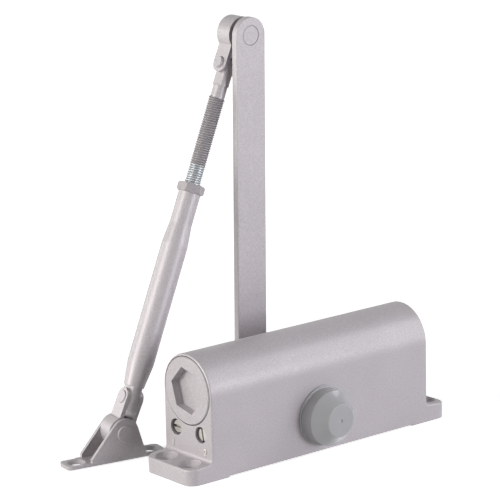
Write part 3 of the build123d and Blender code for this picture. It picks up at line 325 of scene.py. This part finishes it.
# Ground tool steel, oiled: darker, smooth.
GROUND = Finish(
    "Ground oiled steel", dark="#8F9093", light="#A9AAAD", grain_mm=0.35, mottle_mm=12.0, mottle=0.08,
    metallic=1.0, roughness=0.28, roughness_swing=0.06, bump_mm=0.002,
)
# Turned grey cast iron, oiled: dark grey with a fine, dull grain.
IRON = Finish(
    "Turned grey cast iron", dark="#5E5E60", light="#78787A", grain_mm=0.5, mottle_mm=10.0, mottle=0.12,
    metallic=0.8, roughness=0.48, roughness_swing=0.08, bump_mm=0.006,
)
# Sintered bronze: brown-gold, dull and porous.
BRONZE = Finish(
    "Sintered bronze", dark="#8A6A3C", light="#A98450", grain_mm=0.3, mottle_mm=8.0, mottle=0.12,
    metallic=0.9, roughness=0.42, roughness_swing=0.08, bump_mm=0.006,
)
# Nitrile rubber, moulded: black and dull.
NITRILE = Finish(
    "Moulded nitrile rubber", dark="#161617", light="#222224", grain_mm=0.3, mottle_mm=8.0, mottle=0.10,
    metallic=0.0, roughness=0.62, roughness_swing=0.06, bump_mm=0.004,
)
# Acetal, turned: black with a slight gloss.
ACETAL = Finish(
    "Turned black acetal", dark="#1B1B1D", light="#29292B", grain_mm=0.3, mottle_mm=8.0, mottle=0.08,
    metallic=0.0, roughness=0.40, roughness_swing=0.05, bump_mm=0.002,
)


@dataclass(frozen=True)
class PartPaintedThread:
    """Silver paint on the upper thread, bright zinc on the stretch that the lock nut covered, painted shade in
    the roots.

    Attributes:
        name: What the material is.
        start: A point on the rod's axis, in millimetres.
        along: Direction of the rod from the elbow to the shoe.
        thread_from_mm: Distance from start at which the thread begins.
        bare_from_mm: Distance from start at which the paint ends.
        edge_mm: Length over which the paint breaks up.
        root_mm: Radius of the thread's root, where the painted shade is darkest.
        crest_mm: Radius of the thread's crest.
        root_shade: Tone of the painted shade in the roots, sRGB hex.
        root_shade_share: Share of painted shade in the painted thread's roots.
        bare_root_shade: Painted shade in the bare thread's roots as a multiple of that.
        ragged_mm: Width of the breaks in the paint's edge.
    """

    name: str
    start: tuple[float, float, float]
    along: tuple[float, float, float]
    thread_from_mm: float
    bare_from_mm: float
    edge_mm: float
    root_mm: float
    crest_mm: float
    root_shade: str = "#4A494B"
    root_shade_share: float = 0.55
    bare_root_shade: float = 1.15
    ragged_mm: float = 2.5

    def material(self) -> bpy.types.Material:
        """Returns the material, made at its first use."""
        found = bpy.data.materials.get(self.name)
        if found is not None:
            return found
        material = blank_material(self.name)
        tree = material.node_tree
        paint = PAINT.shader(tree)
        zinc = BARE_THREAD.shader(tree)
        place = add_node(tree, "ShaderNodeTexCoord").outputs["Object"]
        offset = add_node(tree, "ShaderNodeVectorMath", {
            0: place, 1: [c * MM for c in self.start],
        }, operation="SUBTRACT").outputs[0]
        reach = add_node(tree, "ShaderNodeVectorMath", {
            0: offset, 1: self.along,
        }, operation="DOT_PRODUCT").outputs["Value"]
        bare = self.bare(tree, place, reach)
        both = add_node(tree, "ShaderNodeMixShader", {0: bare, 1: paint.outputs[0], 2: zinc.outputs[0]})
        # Painted shade: a dark diffuse tone mixed in towards the thread's roots.
        root_shading = self.root_shading(tree, offset, reach, bare)
        root_shade_bsdf = add_node(tree, "ShaderNodeBsdfDiffuse", {"Color": linear(self.root_shade)})
        root_shaded = add_node(tree, "ShaderNodeMixShader", {0: root_shading, 1: both.outputs[0], 2: root_shade_bsdf.outputs[0]})
        add_node(tree, "ShaderNodeOutputMaterial", {"Surface": root_shaded.outputs[0]})
        return material

    def bare(
        self, tree: bpy.types.NodeTree, place: bpy.types.NodeSocket, reach: bpy.types.NodeSocket
    ) -> bpy.types.NodeSocket:
        """Adds the nodes that are 1 past the paint's ragged end.

        Args:
            tree: The material's node tree.
            place: The point on the surface.
            reach: Its distance along the rod.

        Returns:
            The socket that holds the share of bare zinc.
        """
        ragged = add_node(tree, "ShaderNodeTexNoise", {
            "Vector": place, "Scale": per_metre(self.ragged_mm), "Detail": 3.0,
        })
        wander = add_node(tree, "ShaderNodeMapRange", {
            "Value": ragged.outputs["Fac"], "To Min": -self.edge_mm * MM, "To Max": self.edge_mm * MM,
        })
        moved = add_node(tree, "ShaderNodeMath", {0: reach, 1: wander.outputs[0]}, operation="ADD")
        return add_node(tree, "ShaderNodeMapRange", {
            "Value": moved.outputs[0],
            "From Min": (self.bare_from_mm - self.edge_mm / 2) * MM,
            "From Max": (self.bare_from_mm + self.edge_mm / 2) * MM,
        }).outputs[0]

    def root_shading(
        self, tree: bpy.types.NodeTree, offset: bpy.types.NodeSocket, reach: bpy.types.NodeSocket,
        bare: bpy.types.NodeSocket,
    ) -> bpy.types.NodeSocket:
        """Adds the nodes that paint shade in the thread's roots.

        Args:
            tree: The material's node tree.
            offset: The point on the surface, from the start on the rod's axis.
            reach: Its distance along the rod.
            bare: The share of bare zinc there.

        Returns:
            The socket that holds the share of painted shade.
        """
        axial = add_node(tree, "ShaderNodeVectorMath", {0: self.along, "Scale": reach}, operation="SCALE")
        radial = add_node(tree, "ShaderNodeVectorMath", {
            0: offset, 1: axial.outputs[0],
        }, operation="DISTANCE")
        sunk = add_node(tree, "ShaderNodeMapRange", {
            "Value": radial.outputs["Value"],
            "From Min": self.root_mm * MM, "From Max": self.crest_mm * MM,
            "To Min": self.root_shade_share, "To Max": 0.0,
        })
        threaded = add_node(tree, "ShaderNodeMath", {
            0: reach, 1: self.thread_from_mm * MM,
        }, operation="GREATER_THAN")
        more = add_node(tree, "ShaderNodeMapRange", {"Value": bare, "To Min": 1.0, "To Max": self.bare_root_shade})
        held = add_node(tree, "ShaderNodeMath", {
            0: threaded.outputs[0], 1: more.outputs[0],
        }, operation="MULTIPLY")
        return add_node(tree, "ShaderNodeMath", {
            0: sunk.outputs[0], 1: held.outputs[0],
        }, operation="MULTIPLY").outputs[0]


def dress(nodes: list[str], finish: Finish | PartPaintedThread) -> None:
    """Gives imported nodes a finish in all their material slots.

    Args:
        nodes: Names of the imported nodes.
        finish: The finish that they get.
    """
    for name in nodes:
        for slot in frame["nodes"][name].material_slots:
            slot.material = finish.material()
        log.info("dressed %s in %s", name, finish.name)


def deselect() -> None:
    """Leaves object mode with nothing selected."""
    if bpy.context.object is not None and bpy.context.object.mode != "OBJECT":
        bpy.ops.object.mode_set(mode="OBJECT")
    bpy.ops.object.select_all(action="DESELECT")


def pick(thing: bpy.types.Object) -> None:
    """Selects one object alone and makes it the active one."""
    deselect()
    thing.select_set(True)
    bpy.context.view_layer.objects.active = thing


def copy_of(node: str, name: str) -> bpy.types.Object:
    """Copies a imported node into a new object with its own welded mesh, and picks it.

    Args:
        node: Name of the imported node.
        name: Name of the copy.

    Returns:
        The copy.
    """
    copy = bpy.data.objects.new(name, frame["nodes"][node].data.copy())
    bpy.context.scene.collection.objects.link(copy)
    pick(copy)
    bpy.ops.mesh.customdata_custom_splitnormals_clear()
    bpy.ops.object.mode_set(mode="EDIT")
    bpy.ops.mesh.select_all(action="SELECT")
    bpy.ops.mesh.remove_doubles(threshold=WELD_MM * MM)
    bpy.ops.object.mode_set(mode="OBJECT")
    return copy


def gaze_along(turn: float, dip: float) -> Vector:
    """Turns and dips a gaze that starts level along Y.

    Args:
        turn: Its turn towards X, in radians.
        dip: Its angle below the horizon, in radians.

    Returns:
        Its direction.
    """
    level = math.cos(dip)
    return Vector((math.sin(turn) * level, math.cos(turn) * level, -math.sin(dip)))


def settle(piece: bpy.types.Object, body: str, finish: Finish | PartPaintedThread) -> None:
    """Applies a new piece's place to its mesh, dresses it and sets it riding.

    Args:
        piece: The finished mesh object.
        body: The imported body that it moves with.
        finish: Its finish.
    """
    pick(piece)
    bpy.ops.object.transform_apply(location=True, rotation=True, scale=True)
    piece.data.materials.clear()
    piece.data.materials.append(finish.material())
    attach(piece, body)
    log.info("built %s on %s", piece.name, body)


@dataclass
class Body:
    """The cast body with its end plugs, speed valves and spindle cap.

    Attributes:
        half_length_mm: From the middle to the end face.
        numeral_height_mm: Height of the cast numerals.
        numeral_relief_mm: How far they stand out of the end face.
        numeral_swell_mm: How far their strokes are thickened to each side.
        numeral_edge_mm: Rounding of their edges.
        digit_share: Share of a font's size that a digit's height takes.
        numerals: Each numeral with its place across and up the end face.
        bore_height_mm: Height of the bore's axis.
        valve_side_mm: From the middle to a valve's axis, along Y.
        valve_height_mm: Height of the valves' axes.
        plug_shade_ring_mm: Ring of painted shade round each end plug: circle radius, bead radius and depth
            below the face.
        valve_shade_ring_mm: Ring of painted shade round each valve head, in the same terms.
        bead_sides: Faces round a bead.
        ring_steps: Faces along a ring.
    """

    half_length_mm: float = 75.0
    numeral_height_mm: float = 3.2
    numeral_relief_mm: float = 0.4
    numeral_swell_mm: float = 0.1
    numeral_edge_mm: float = 0.06
    digit_share: float = 0.7
    numerals: tuple[tuple[str, float, float], ...] = (("1", 12.4, 12.8), ("2", -14.0, 13.0))
    bore_height_mm: float = 44.5
    valve_side_mm: float = 10.176
    valve_height_mm: float = 22.875
    plug_shade_ring_mm: tuple[float, float, float] = (18.22, 0.2, 0.3)
    valve_shade_ring_mm: tuple[float, float, float] = (3.85, 0.45, 2.1)
    bead_sides: int = 8
    ring_steps: int = 120

    def build(self) -> None:
        """Dresses the body and adds the numerals and the black rings of painted shade."""
        dress(["housing", "valve_end_plug", "spring_end_plug"], PAINT)
        dress(["sweep_valve", "latch_valve"], NICKEL)
        dress(["front_gland", "back_gland"], ZINC)
        dress(["pinion_cap"], CAP_ABS)
        for text, across, up in self.numerals:
            self.numeral(text, across, up)
        bore = (0.0, self.bore_height_mm)
        self.ring("valve_end_shade_ring", -1, bore, self.plug_shade_ring_mm)
        self.ring("spring_end_shade_ring", 1, bore, self.plug_shade_ring_mm)
        for name, across in (("sweep_valve", -self.valve_side_mm), ("latch_valve", self.valve_side_mm)):
            self.ring(name + "_shade_ring", -1, (across, self.valve_height_mm), self.valve_shade_ring_mm)

    def ring(
        self, name: str, side: int, place: tuple[float, float], sizes: tuple[float, float, float]
    ) -> None:
        """Models a black ring of painted shade in the gap round an end plug or a valve head.

        Args:
            name: Name of the piece.
            side: -1 at the valve end, 1 at the spring end.
            place: The ring's axis along Y and Z, in millimetres.
            sizes: Circle radius, bead radius and depth below the end face, in millimetres.
        """
        deselect()
        circle, bead, depth = sizes
        middle = Vector((side * (self.half_length_mm - depth), place[0], place[1])) * MM
        start = middle + Vector((0.0, 0.0, circle * MM))
        bpy.ops.mesh.primitive_circle_add(vertices=self.bead_sides, radius=bead * MM, location=start)
        ring = bpy.context.object
        ring.name = name
        bpy.ops.object.transform_apply(location=True, rotation=True, scale=True)
        bpy.ops.object.mode_set(mode="EDIT")
        bpy.ops.mesh.select_all(action="SELECT")
        bpy.ops.transform.rotate(value=math.pi / 2, orient_axis="X", center_override=start)
        bpy.ops.mesh.spin(steps=self.ring_steps, angle=2 * math.pi, center=middle, axis=(1, 0, 0))
        bpy.ops.mesh.select_all(action="SELECT")
        bpy.ops.mesh.remove_doubles(threshold=WELD_MM * MM)
        bpy.ops.mesh.normals_make_consistent(inside=False)
        bpy.ops.object.mode_set(mode="OBJECT")
        bpy.ops.object.shade_smooth()
        # Black rubber here stands for the shade in the gap: painted shade.
        settle(ring, "housing", NITRILE)

    def numeral(self, text: str, across: float, up: float) -> None:
        """Models one raised numeral on the valve end's face.

        Args:
            text: The digit.
            across: Its middle along Y, in millimetres.
            up: Its foot along Z, in millimetres.
        """
        deselect()
        bpy.ops.object.text_add(location=(0, 0, 0))
        letter = bpy.context.object
        letter.data.body = text
        letter.data.align_x = "CENTER"
        letter.data.size = self.numeral_height_mm * MM / self.digit_share
        letter.data.extrude = self.numeral_relief_mm * MM
        letter.data.offset = self.numeral_swell_mm * MM
        letter.data.bevel_depth = self.numeral_edge_mm * MM
        bpy.ops.object.convert(target="MESH")
        digit = bpy.context.object
        digit.name = "valve_numeral_" + text
        # The letter's right goes to -Y, its up to Z and its front to -X.
        turn = Matrix(((0, 0, -1), (-1, 0, 0), (0, 1, 0))).to_4x4()
        digit.matrix_world = Matrix.Translation((-self.half_length_mm * MM, across * MM, up * MM)) @ turn
        # The numeral's lighter tone is a painted highlight.
        settle(digit, "housing", NUMERAL_HIGHLIGHT_PAINT)


@dataclass
class Arm:
    """The main arm with its hub, fastener and elbow pin."""

    def build(self) -> None:
        """Dresses the arm."""
        dress(["main_arm", "arm_hub", "elbow_pin"], PAINT)
        dress(["arm_screw", "arm_washer"], ZINC)
        # The washer is black acetal, and its black also paints the shade in the gap behind the arm's round
        # end.
        dress(["elbow_washer"], ACETAL)


@dataclass
class Forearm:
    """The adjustable forearm: strap link, threaded rod, lock nut and sleeve.

    Attributes:
        origin_mm: Point on the forearm's axis beside the elbow pin.
        lean_deg: Lean of the forearm towards the valve end.
        tilt_deg: Tilt of the forearm towards the front.
        thread_start_mm: Where the thread begins, from the origin.
        bare_start_mm: Where the paint on the thread ends, from the origin.
        rod_end_mm: End of the rod, from the origin.
        pitch_mm: Thread pitch.
        crest_mm: Thread crest radius.
        root_mm: Thread root radius.
        steps: Faces in one turn of the thread.
        cut_back_mm: How far the shank is cut back from the thread's start.
        paint_edge_mm: Length over which the paint on the thread breaks up.
        smooth_deg: Angle up to which an edge is shaded smooth.
        along: Direction of the forearm from the elbow to the shoe.
    """

    origin_mm: tuple[float, float, float] = (3.744, 50.425, 215.057)
    lean_deg: float = 24.1
    tilt_deg: float = 1.7
    thread_start_mm: float = 36.6
    bare_start_mm: float = 73.3
    rod_end_mm: float = 122.5
    pitch_mm: float = 1.25
    crest_mm: float = 4.5
    root_mm: float = 3.83
    steps: int = 28
    cut_back_mm: float = 0.05
    paint_edge_mm: float = 0.5
    smooth_deg: float = 32.0
    along: Vector = field(init=False)

    def __post_init__(self) -> None:
        """Works out the forearm's direction."""
        lean, tilt = math.radians(self.lean_deg), math.radians(self.tilt_deg)
        level = math.cos(tilt)
        self.along = Vector((-math.sin(lean) * level, -math.sin(tilt), -math.cos(lean) * level))

    def build(self) -> None:
        """Dresses the forearm and cuts its thread."""
        dress(["elbow_link", "upper_rivet", "sleeve"], PAINT)
        # The lock nut's darker paint is painted shade.
        dress(["lock_nut"], DARKENED_PAINT)
        dress(["elbow_bush"], ACETAL)
        thread = self.helix()
        rod = self.head()
        pick(rod)
        thread.select_set(True)
        bpy.ops.object.join()
        bpy.ops.object.shade_smooth_by_angle(angle=math.radians(self.smooth_deg))
        finish = PartPaintedThread(
            "Painted and bare zinc thread", start=self.origin_mm, along=tuple(self.along),
            thread_from_mm=self.thread_start_mm, bare_from_mm=self.bare_start_mm, edge_mm=self.paint_edge_mm,
            root_mm=self.root_mm, crest_mm=self.crest_mm,
        )
        settle(rod, "rod", finish)
        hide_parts("threaded_rod")

    def head(self) -> bpy.types.Object:
        """Copies the rod's head and shank and cuts the copy off where the thread begins.

        Returns:
            The head as a new object.
        """
        rod = copy_of("threaded_rod", "cut_thread_rod")
        bpy.ops.object.mode_set(mode="EDIT")
        bpy.ops.mesh.select_all(action="SELECT")
        cut = Vector(self.origin_mm) * MM + self.along * (self.thread_start_mm - self.cut_back_mm) * MM
        bpy.ops.mesh.bisect(plane_co=cut, plane_no=self.along, use_fill=True, clear_outer=True)
        bpy.ops.object.mode_set(mode="OBJECT")
        return rod

    def helix(self) -> bpy.types.Object:
        """Turns one tooth of the thread into a screw along the rod.

        Returns:
            The thread as a new object, in its place.
        """
        deselect()
        bpy.ops.mesh.primitive_plane_add(size=self.pitch_mm * MM, location=(0, 0, 0))
        thread = bpy.context.object
        thread.name = "cut_thread"
        bpy.ops.object.mode_set(mode="EDIT")
        bpy.ops.mesh.select_all(action="SELECT")
        bpy.ops.mesh.merge(type="CENTER")
        bpy.ops.transform.translate(value=(self.root_mm * MM, 0, 0))
        rise = (self.crest_mm - self.root_mm) * MM
        # The crest is flat for an eighth of the pitch and the root for a quarter.
        flat = self.pitch_mm * MM / 8
        flank = (self.pitch_mm * MM - 3 * flat) / 2
        for step in ((0, 0, 2 * flat), (rise, 0, flank), (0, 0, flat), (-rise, 0, flank)):
            bpy.ops.mesh.extrude_region_move(TRANSFORM_OT_translate={"value": step})
        bpy.ops.object.mode_set(mode="OBJECT")
        turns = int((self.rod_end_mm - self.thread_start_mm) / self.pitch_mm)
        screw = thread.modifiers.new("screw", "SCREW")
        screw.steps = self.steps
        screw.render_steps = self.steps
        screw.screw_offset = self.pitch_mm * MM
        screw.iterations = turns
        screw.use_merge_vertices = True
        bpy.ops.object.modifier_apply(modifier=screw.name)
        bpy.ops.object.mode_set(mode="EDIT")
        bpy.ops.mesh.select_all(action="SELECT")
        bpy.ops.mesh.remove_doubles(threshold=WELD_MM * MM)
        bpy.ops.mesh.select_all(action="DESELECT")
        bpy.ops.mesh.select_mode(type="EDGE")
        bpy.ops.mesh.select_non_manifold()
        bpy.ops.mesh.fill_holes(sides=0)
        bpy.ops.mesh.select_all(action="SELECT")
        bpy.ops.mesh.normals_make_consistent(inside=False)
        bpy.ops.object.mode_set(mode="OBJECT")
        across = Vector((0.0, 1.0, 0.0)).cross(self.along).normalized()
        turn = Matrix((across, self.along.cross(across), self.along)).transposed().to_4x4()
        start = Vector(self.origin_mm) * MM + self.along * (self.thread_start_mm - self.pitch_mm) * MM
        thread.matrix_world = Matrix.Translation(start) @ turn
        bpy.ops.object.transform_apply(location=True, rotation=True, scale=True)
        return thread


@dataclass
class Shoe:
    """The shoe with its pin, strap link and rivet."""

    def build(self) -> None:
        """Dresses the shoe."""
        dress(["shoe", "shoe_pin", "shoe_link", "lower_rivet"], PAINT)
        dress(["shoe_bush"], ACETAL)


@dataclass
class Works:
    """The rack, pinion, spring and seals inside the body.

    Attributes:
        smooth_deg: Angle up to which an edge of the spring is shaded smooth.
    """

    smooth_deg: float = 40.0

    def build(self) -> None:
        """Dresses what the body hides and adds a copy of the spring."""
        dress(["pinion", "check_ball", "check_retainer"], GROUND)
        dress(["piston"], IRON)
        dress(["front_bearing", "back_bearing"], BRONZE)
        sealed = ("valve_end", "spring_end", "front", "back", "sweep_valve", "latch_valve")
        dress([place + "_seal" for place in sealed], NITRILE)
        self.spring()

    def spring(self) -> None:
        """Copies the closing spring into a welded, smooth-shaded copy with its own mesh, fixed to the housing.
        """
        spring = copy_of("closing_spring", "shortening_spring")
        bpy.ops.object.shade_smooth_by_angle(angle=math.radians(self.smooth_deg))
        settle(spring, "housing", GROUND)
        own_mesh(spring)
        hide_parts("closing_spring")


@dataclass(frozen=True)
class Softbox:
    """A square studio lamp that faces the object.

    Attributes:
        name: Name of the lamp.
        turn_deg: Its turn from the front of the body towards the valve end.
        height_deg: Its height above the horizon.
        watts: Its power.
        colour: Its colour, sRGB hex.
        away: Its distance, in metres.
        size: Its edge, in metres.
        aim: The point that it faces, in metres.
    """

    name: str
    turn_deg: float
    height_deg: float
    watts: float
    colour: str
    away: float = 1.8
    size: float = 0.75
    aim: tuple[float, float, float] = (0.0, 0.0, 0.08)

    def build(self) -> None:
        """Adds the lamp."""
        turn, height = math.radians(self.turn_deg), math.radians(self.height_deg)
        gaze = gaze_along(turn, height)
        deselect()
        bpy.ops.object.light_add(type="AREA", location=Vector(self.aim) - gaze * self.away)
        lamp = bpy.context.object
        lamp.name = self.name
        lamp.data.shape = "SQUARE"
        lamp.data.size = self.size
        lamp.data.energy = self.watts
        lamp.data.color = linear(self.colour)[:3]
        lamp.rotation_euler = gaze.to_track_quat("-Z", "Y").to_euler()
        lamp.visible_camera = False


@dataclass
class Studio:
    """Pale floor, white surroundings, soft lamps and the camera.

    Attributes:
        azimuth_deg: Camera's turn from the front towards the valve end.
        elevation_deg: Camera's height above the horizon.
        roll_deg: Camera's roll.
        offset_mm: The frame origin's offset right and up from the line of sight, and its distance.
        focal_px: Focal length in pixels.
        frame_px: Edge of the square picture.
        ambient: Brightness of the surroundings as light.
        floor_glow: Share of white that the floor shows without light, beside the object and far from it.
        glow_reach: Distances from the object at which the two shares hold, in metres.
        floor_paper: Tone of the floor as the camera sees it.
        floor_bounce: Tone of the floor as the object sees it.
        floor_size: Edge of the floor, in metres.
        floor_drop: How far the floor lies below the feet, in metres.
        sensor_mm: Width of the camera's sensor.
        clip: Nearest and farthest distance that the camera sees, in metres.
        lamps: The lamps.
    """

    azimuth_deg: float = 39.303
    elevation_deg: float = 13.854
    roll_deg: float = -1.272
    offset_mm: tuple[float, float, float] = (26.406, -102.892, 1516.098)
    focal_px: float = 2838.985
    frame_px: float = 500.0
    ambient: float = 0.03
    floor_glow: tuple[float, float] = (0.76, 1.0)
    glow_reach: tuple[float, float] = (0.2, 0.8)
    floor_paper: str = "#E6E6E6"
    floor_bounce: str = "#DCDCDC"
    floor_size: float = 14.0
    floor_drop: float = 0.0002
    sensor_mm: float = 36.0
    clip: tuple[float, float] = (0.01, 50.0)
    lamps: tuple[Softbox, ...] = (
        Softbox("left_back_softbox", turn_deg=150.0, height_deg=8.0, watts=4.7, colour="#FFFDFA"),
        Softbox("left_softbox", turn_deg=106.0, height_deg=8.0, watts=17.0, colour="#FFFCF8"),
        Softbox("left_rim_softbox", turn_deg=78.0, height_deg=12.0, watts=1.4, colour="#FFFCF8", size=0.12),
        Softbox("left_high_softbox", turn_deg=100.0, height_deg=32.0, watts=9.9, colour="#FFFCF8"),
        Softbox("front_softbox", turn_deg=-20.0, height_deg=8.0, watts=14.6, colour="#FAF9FF"),
        Softbox("right_softbox", turn_deg=-60.0, height_deg=8.0, watts=5.4, colour="#FAF9FF"),
        Softbox("right_high_softbox", turn_deg=-60.0, height_deg=32.0, watts=6.7, colour="#FCFBFF"),
    )

    def build(self) -> None:
        """Builds the surroundings, lamps and camera."""
        self.world()
        self.floor()
        for lamp in self.lamps:
            lamp.build()
        self.camera()
        bpy.context.scene.view_settings.view_transform = "Standard"

    def world(self) -> None:
        """Makes surroundings that look white and light softly."""
        world = bpy.data.worlds.new("white_studio")
        world.use_nodes = True
        tree = world.node_tree
        tree.nodes.clear()
        light = add_node(tree, "ShaderNodeBackground", {"Color": linear(WHITE), "Strength": self.ambient})
        white = add_node(tree, "ShaderNodeBackground", {"Color": linear(WHITE), "Strength": 1.0})
        both = add_node(tree, "ShaderNodeMixShader", {
            0: shown_to_eye(tree), 1: light.outputs[0], 2: white.outputs[0],
        })
        add_node(tree, "ShaderNodeOutputWorld", {"Surface": both.outputs[0]})
        bpy.context.scene.world = world

    def floor(self) -> None:
        """Lays a pale floor that keeps the object's shadow."""
        deselect()
        bpy.ops.mesh.primitive_plane_add(size=self.floor_size, location=(0, 0, -self.floor_drop))
        floor = bpy.context.object
        floor.name = "studio_floor"
        material = blank_material("Pale studio paper")
        tree = material.node_tree
        bounce = add_node(tree, "ShaderNodeBsdfDiffuse", {"Color": linear(self.floor_bounce)})
        paper = add_node(tree, "ShaderNodeBsdfDiffuse", {"Color": linear(self.floor_paper)})
        place = add_node(tree, "ShaderNodeTexCoord").outputs["Object"]
        away = add_node(tree, "ShaderNodeVectorMath", {0: place}, operation="LENGTH")
        white = add_node(tree, "ShaderNodeMapRange", {
            "Value": away.outputs["Value"], "From Min": self.glow_reach[0], "From Max": self.glow_reach[1],
            "To Min": self.floor_glow[0], "To Max": self.floor_glow[1],
        })
        glow = add_node(tree, "ShaderNodeEmission", {"Color": linear(WHITE), "Strength": white.outputs[0]})
        lit = add_node(tree, "ShaderNodeAddShader", {0: paper.outputs[0], 1: glow.outputs[0]})
        both = add_node(tree, "ShaderNodeMixShader", {
            0: shown_to_eye(tree), 1: bounce.outputs[0], 2: lit.outputs[0],
        })
        add_node(tree, "ShaderNodeOutputMaterial", {"Surface": both.outputs[0]})
        floor.data.materials.append(material)

    def camera(self) -> None:
        """Stands the camera where the photograph was taken from."""
        turn, tilt, roll = (math.radians(a) for a in (self.azimuth_deg, self.elevation_deg, self.roll_deg))
        right = Vector((math.cos(turn), -math.sin(turn), 0.0))
        ahead = gaze_along(turn, tilt)
        up = right.cross(ahead)
        across, along = math.cos(roll), math.sin(roll)
        right, up = right * across + up * along, up * across - right * along
        x, y, depth = self.offset_mm
        place = -(right * x + up * y + ahead * depth) * MM
        deselect()
        bpy.ops.object.camera_add()
        camera = bpy.context.object
        facing = Matrix((right, up, -ahead)).transposed().to_4x4()
        camera.matrix_world = Matrix.Translation(place) @ facing
        camera.data.sensor_width = self.sensor_mm
        camera.data.lens = self.focal_px / self.frame_px * self.sensor_mm
        camera.data.clip_start, camera.data.clip_end = self.clip
        bpy.context.scene.camera = camera


def clear_startup() -> None:
    """Removes what a new file holds besides the frame."""
    kept = set(frame["bodies"].values()) | set(frame["nodes"].values())
    for thing in list(bpy.data.objects):
        if thing not in kept:
            bpy.data.objects.remove(thing)


def main() -> None:
    """Builds every sub-assembly and the studio."""
    logging.basicConfig(level=logging.INFO, format="%(message)s")
    clear_startup()
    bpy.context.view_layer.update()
    for assembly in (Body(), Arm(), Forearm(), Shoe(), Works(), Studio()):
        assembly.build()
        log.info("finished %s", type(assembly).__name__)


if __name__ == "__main__":
    main()
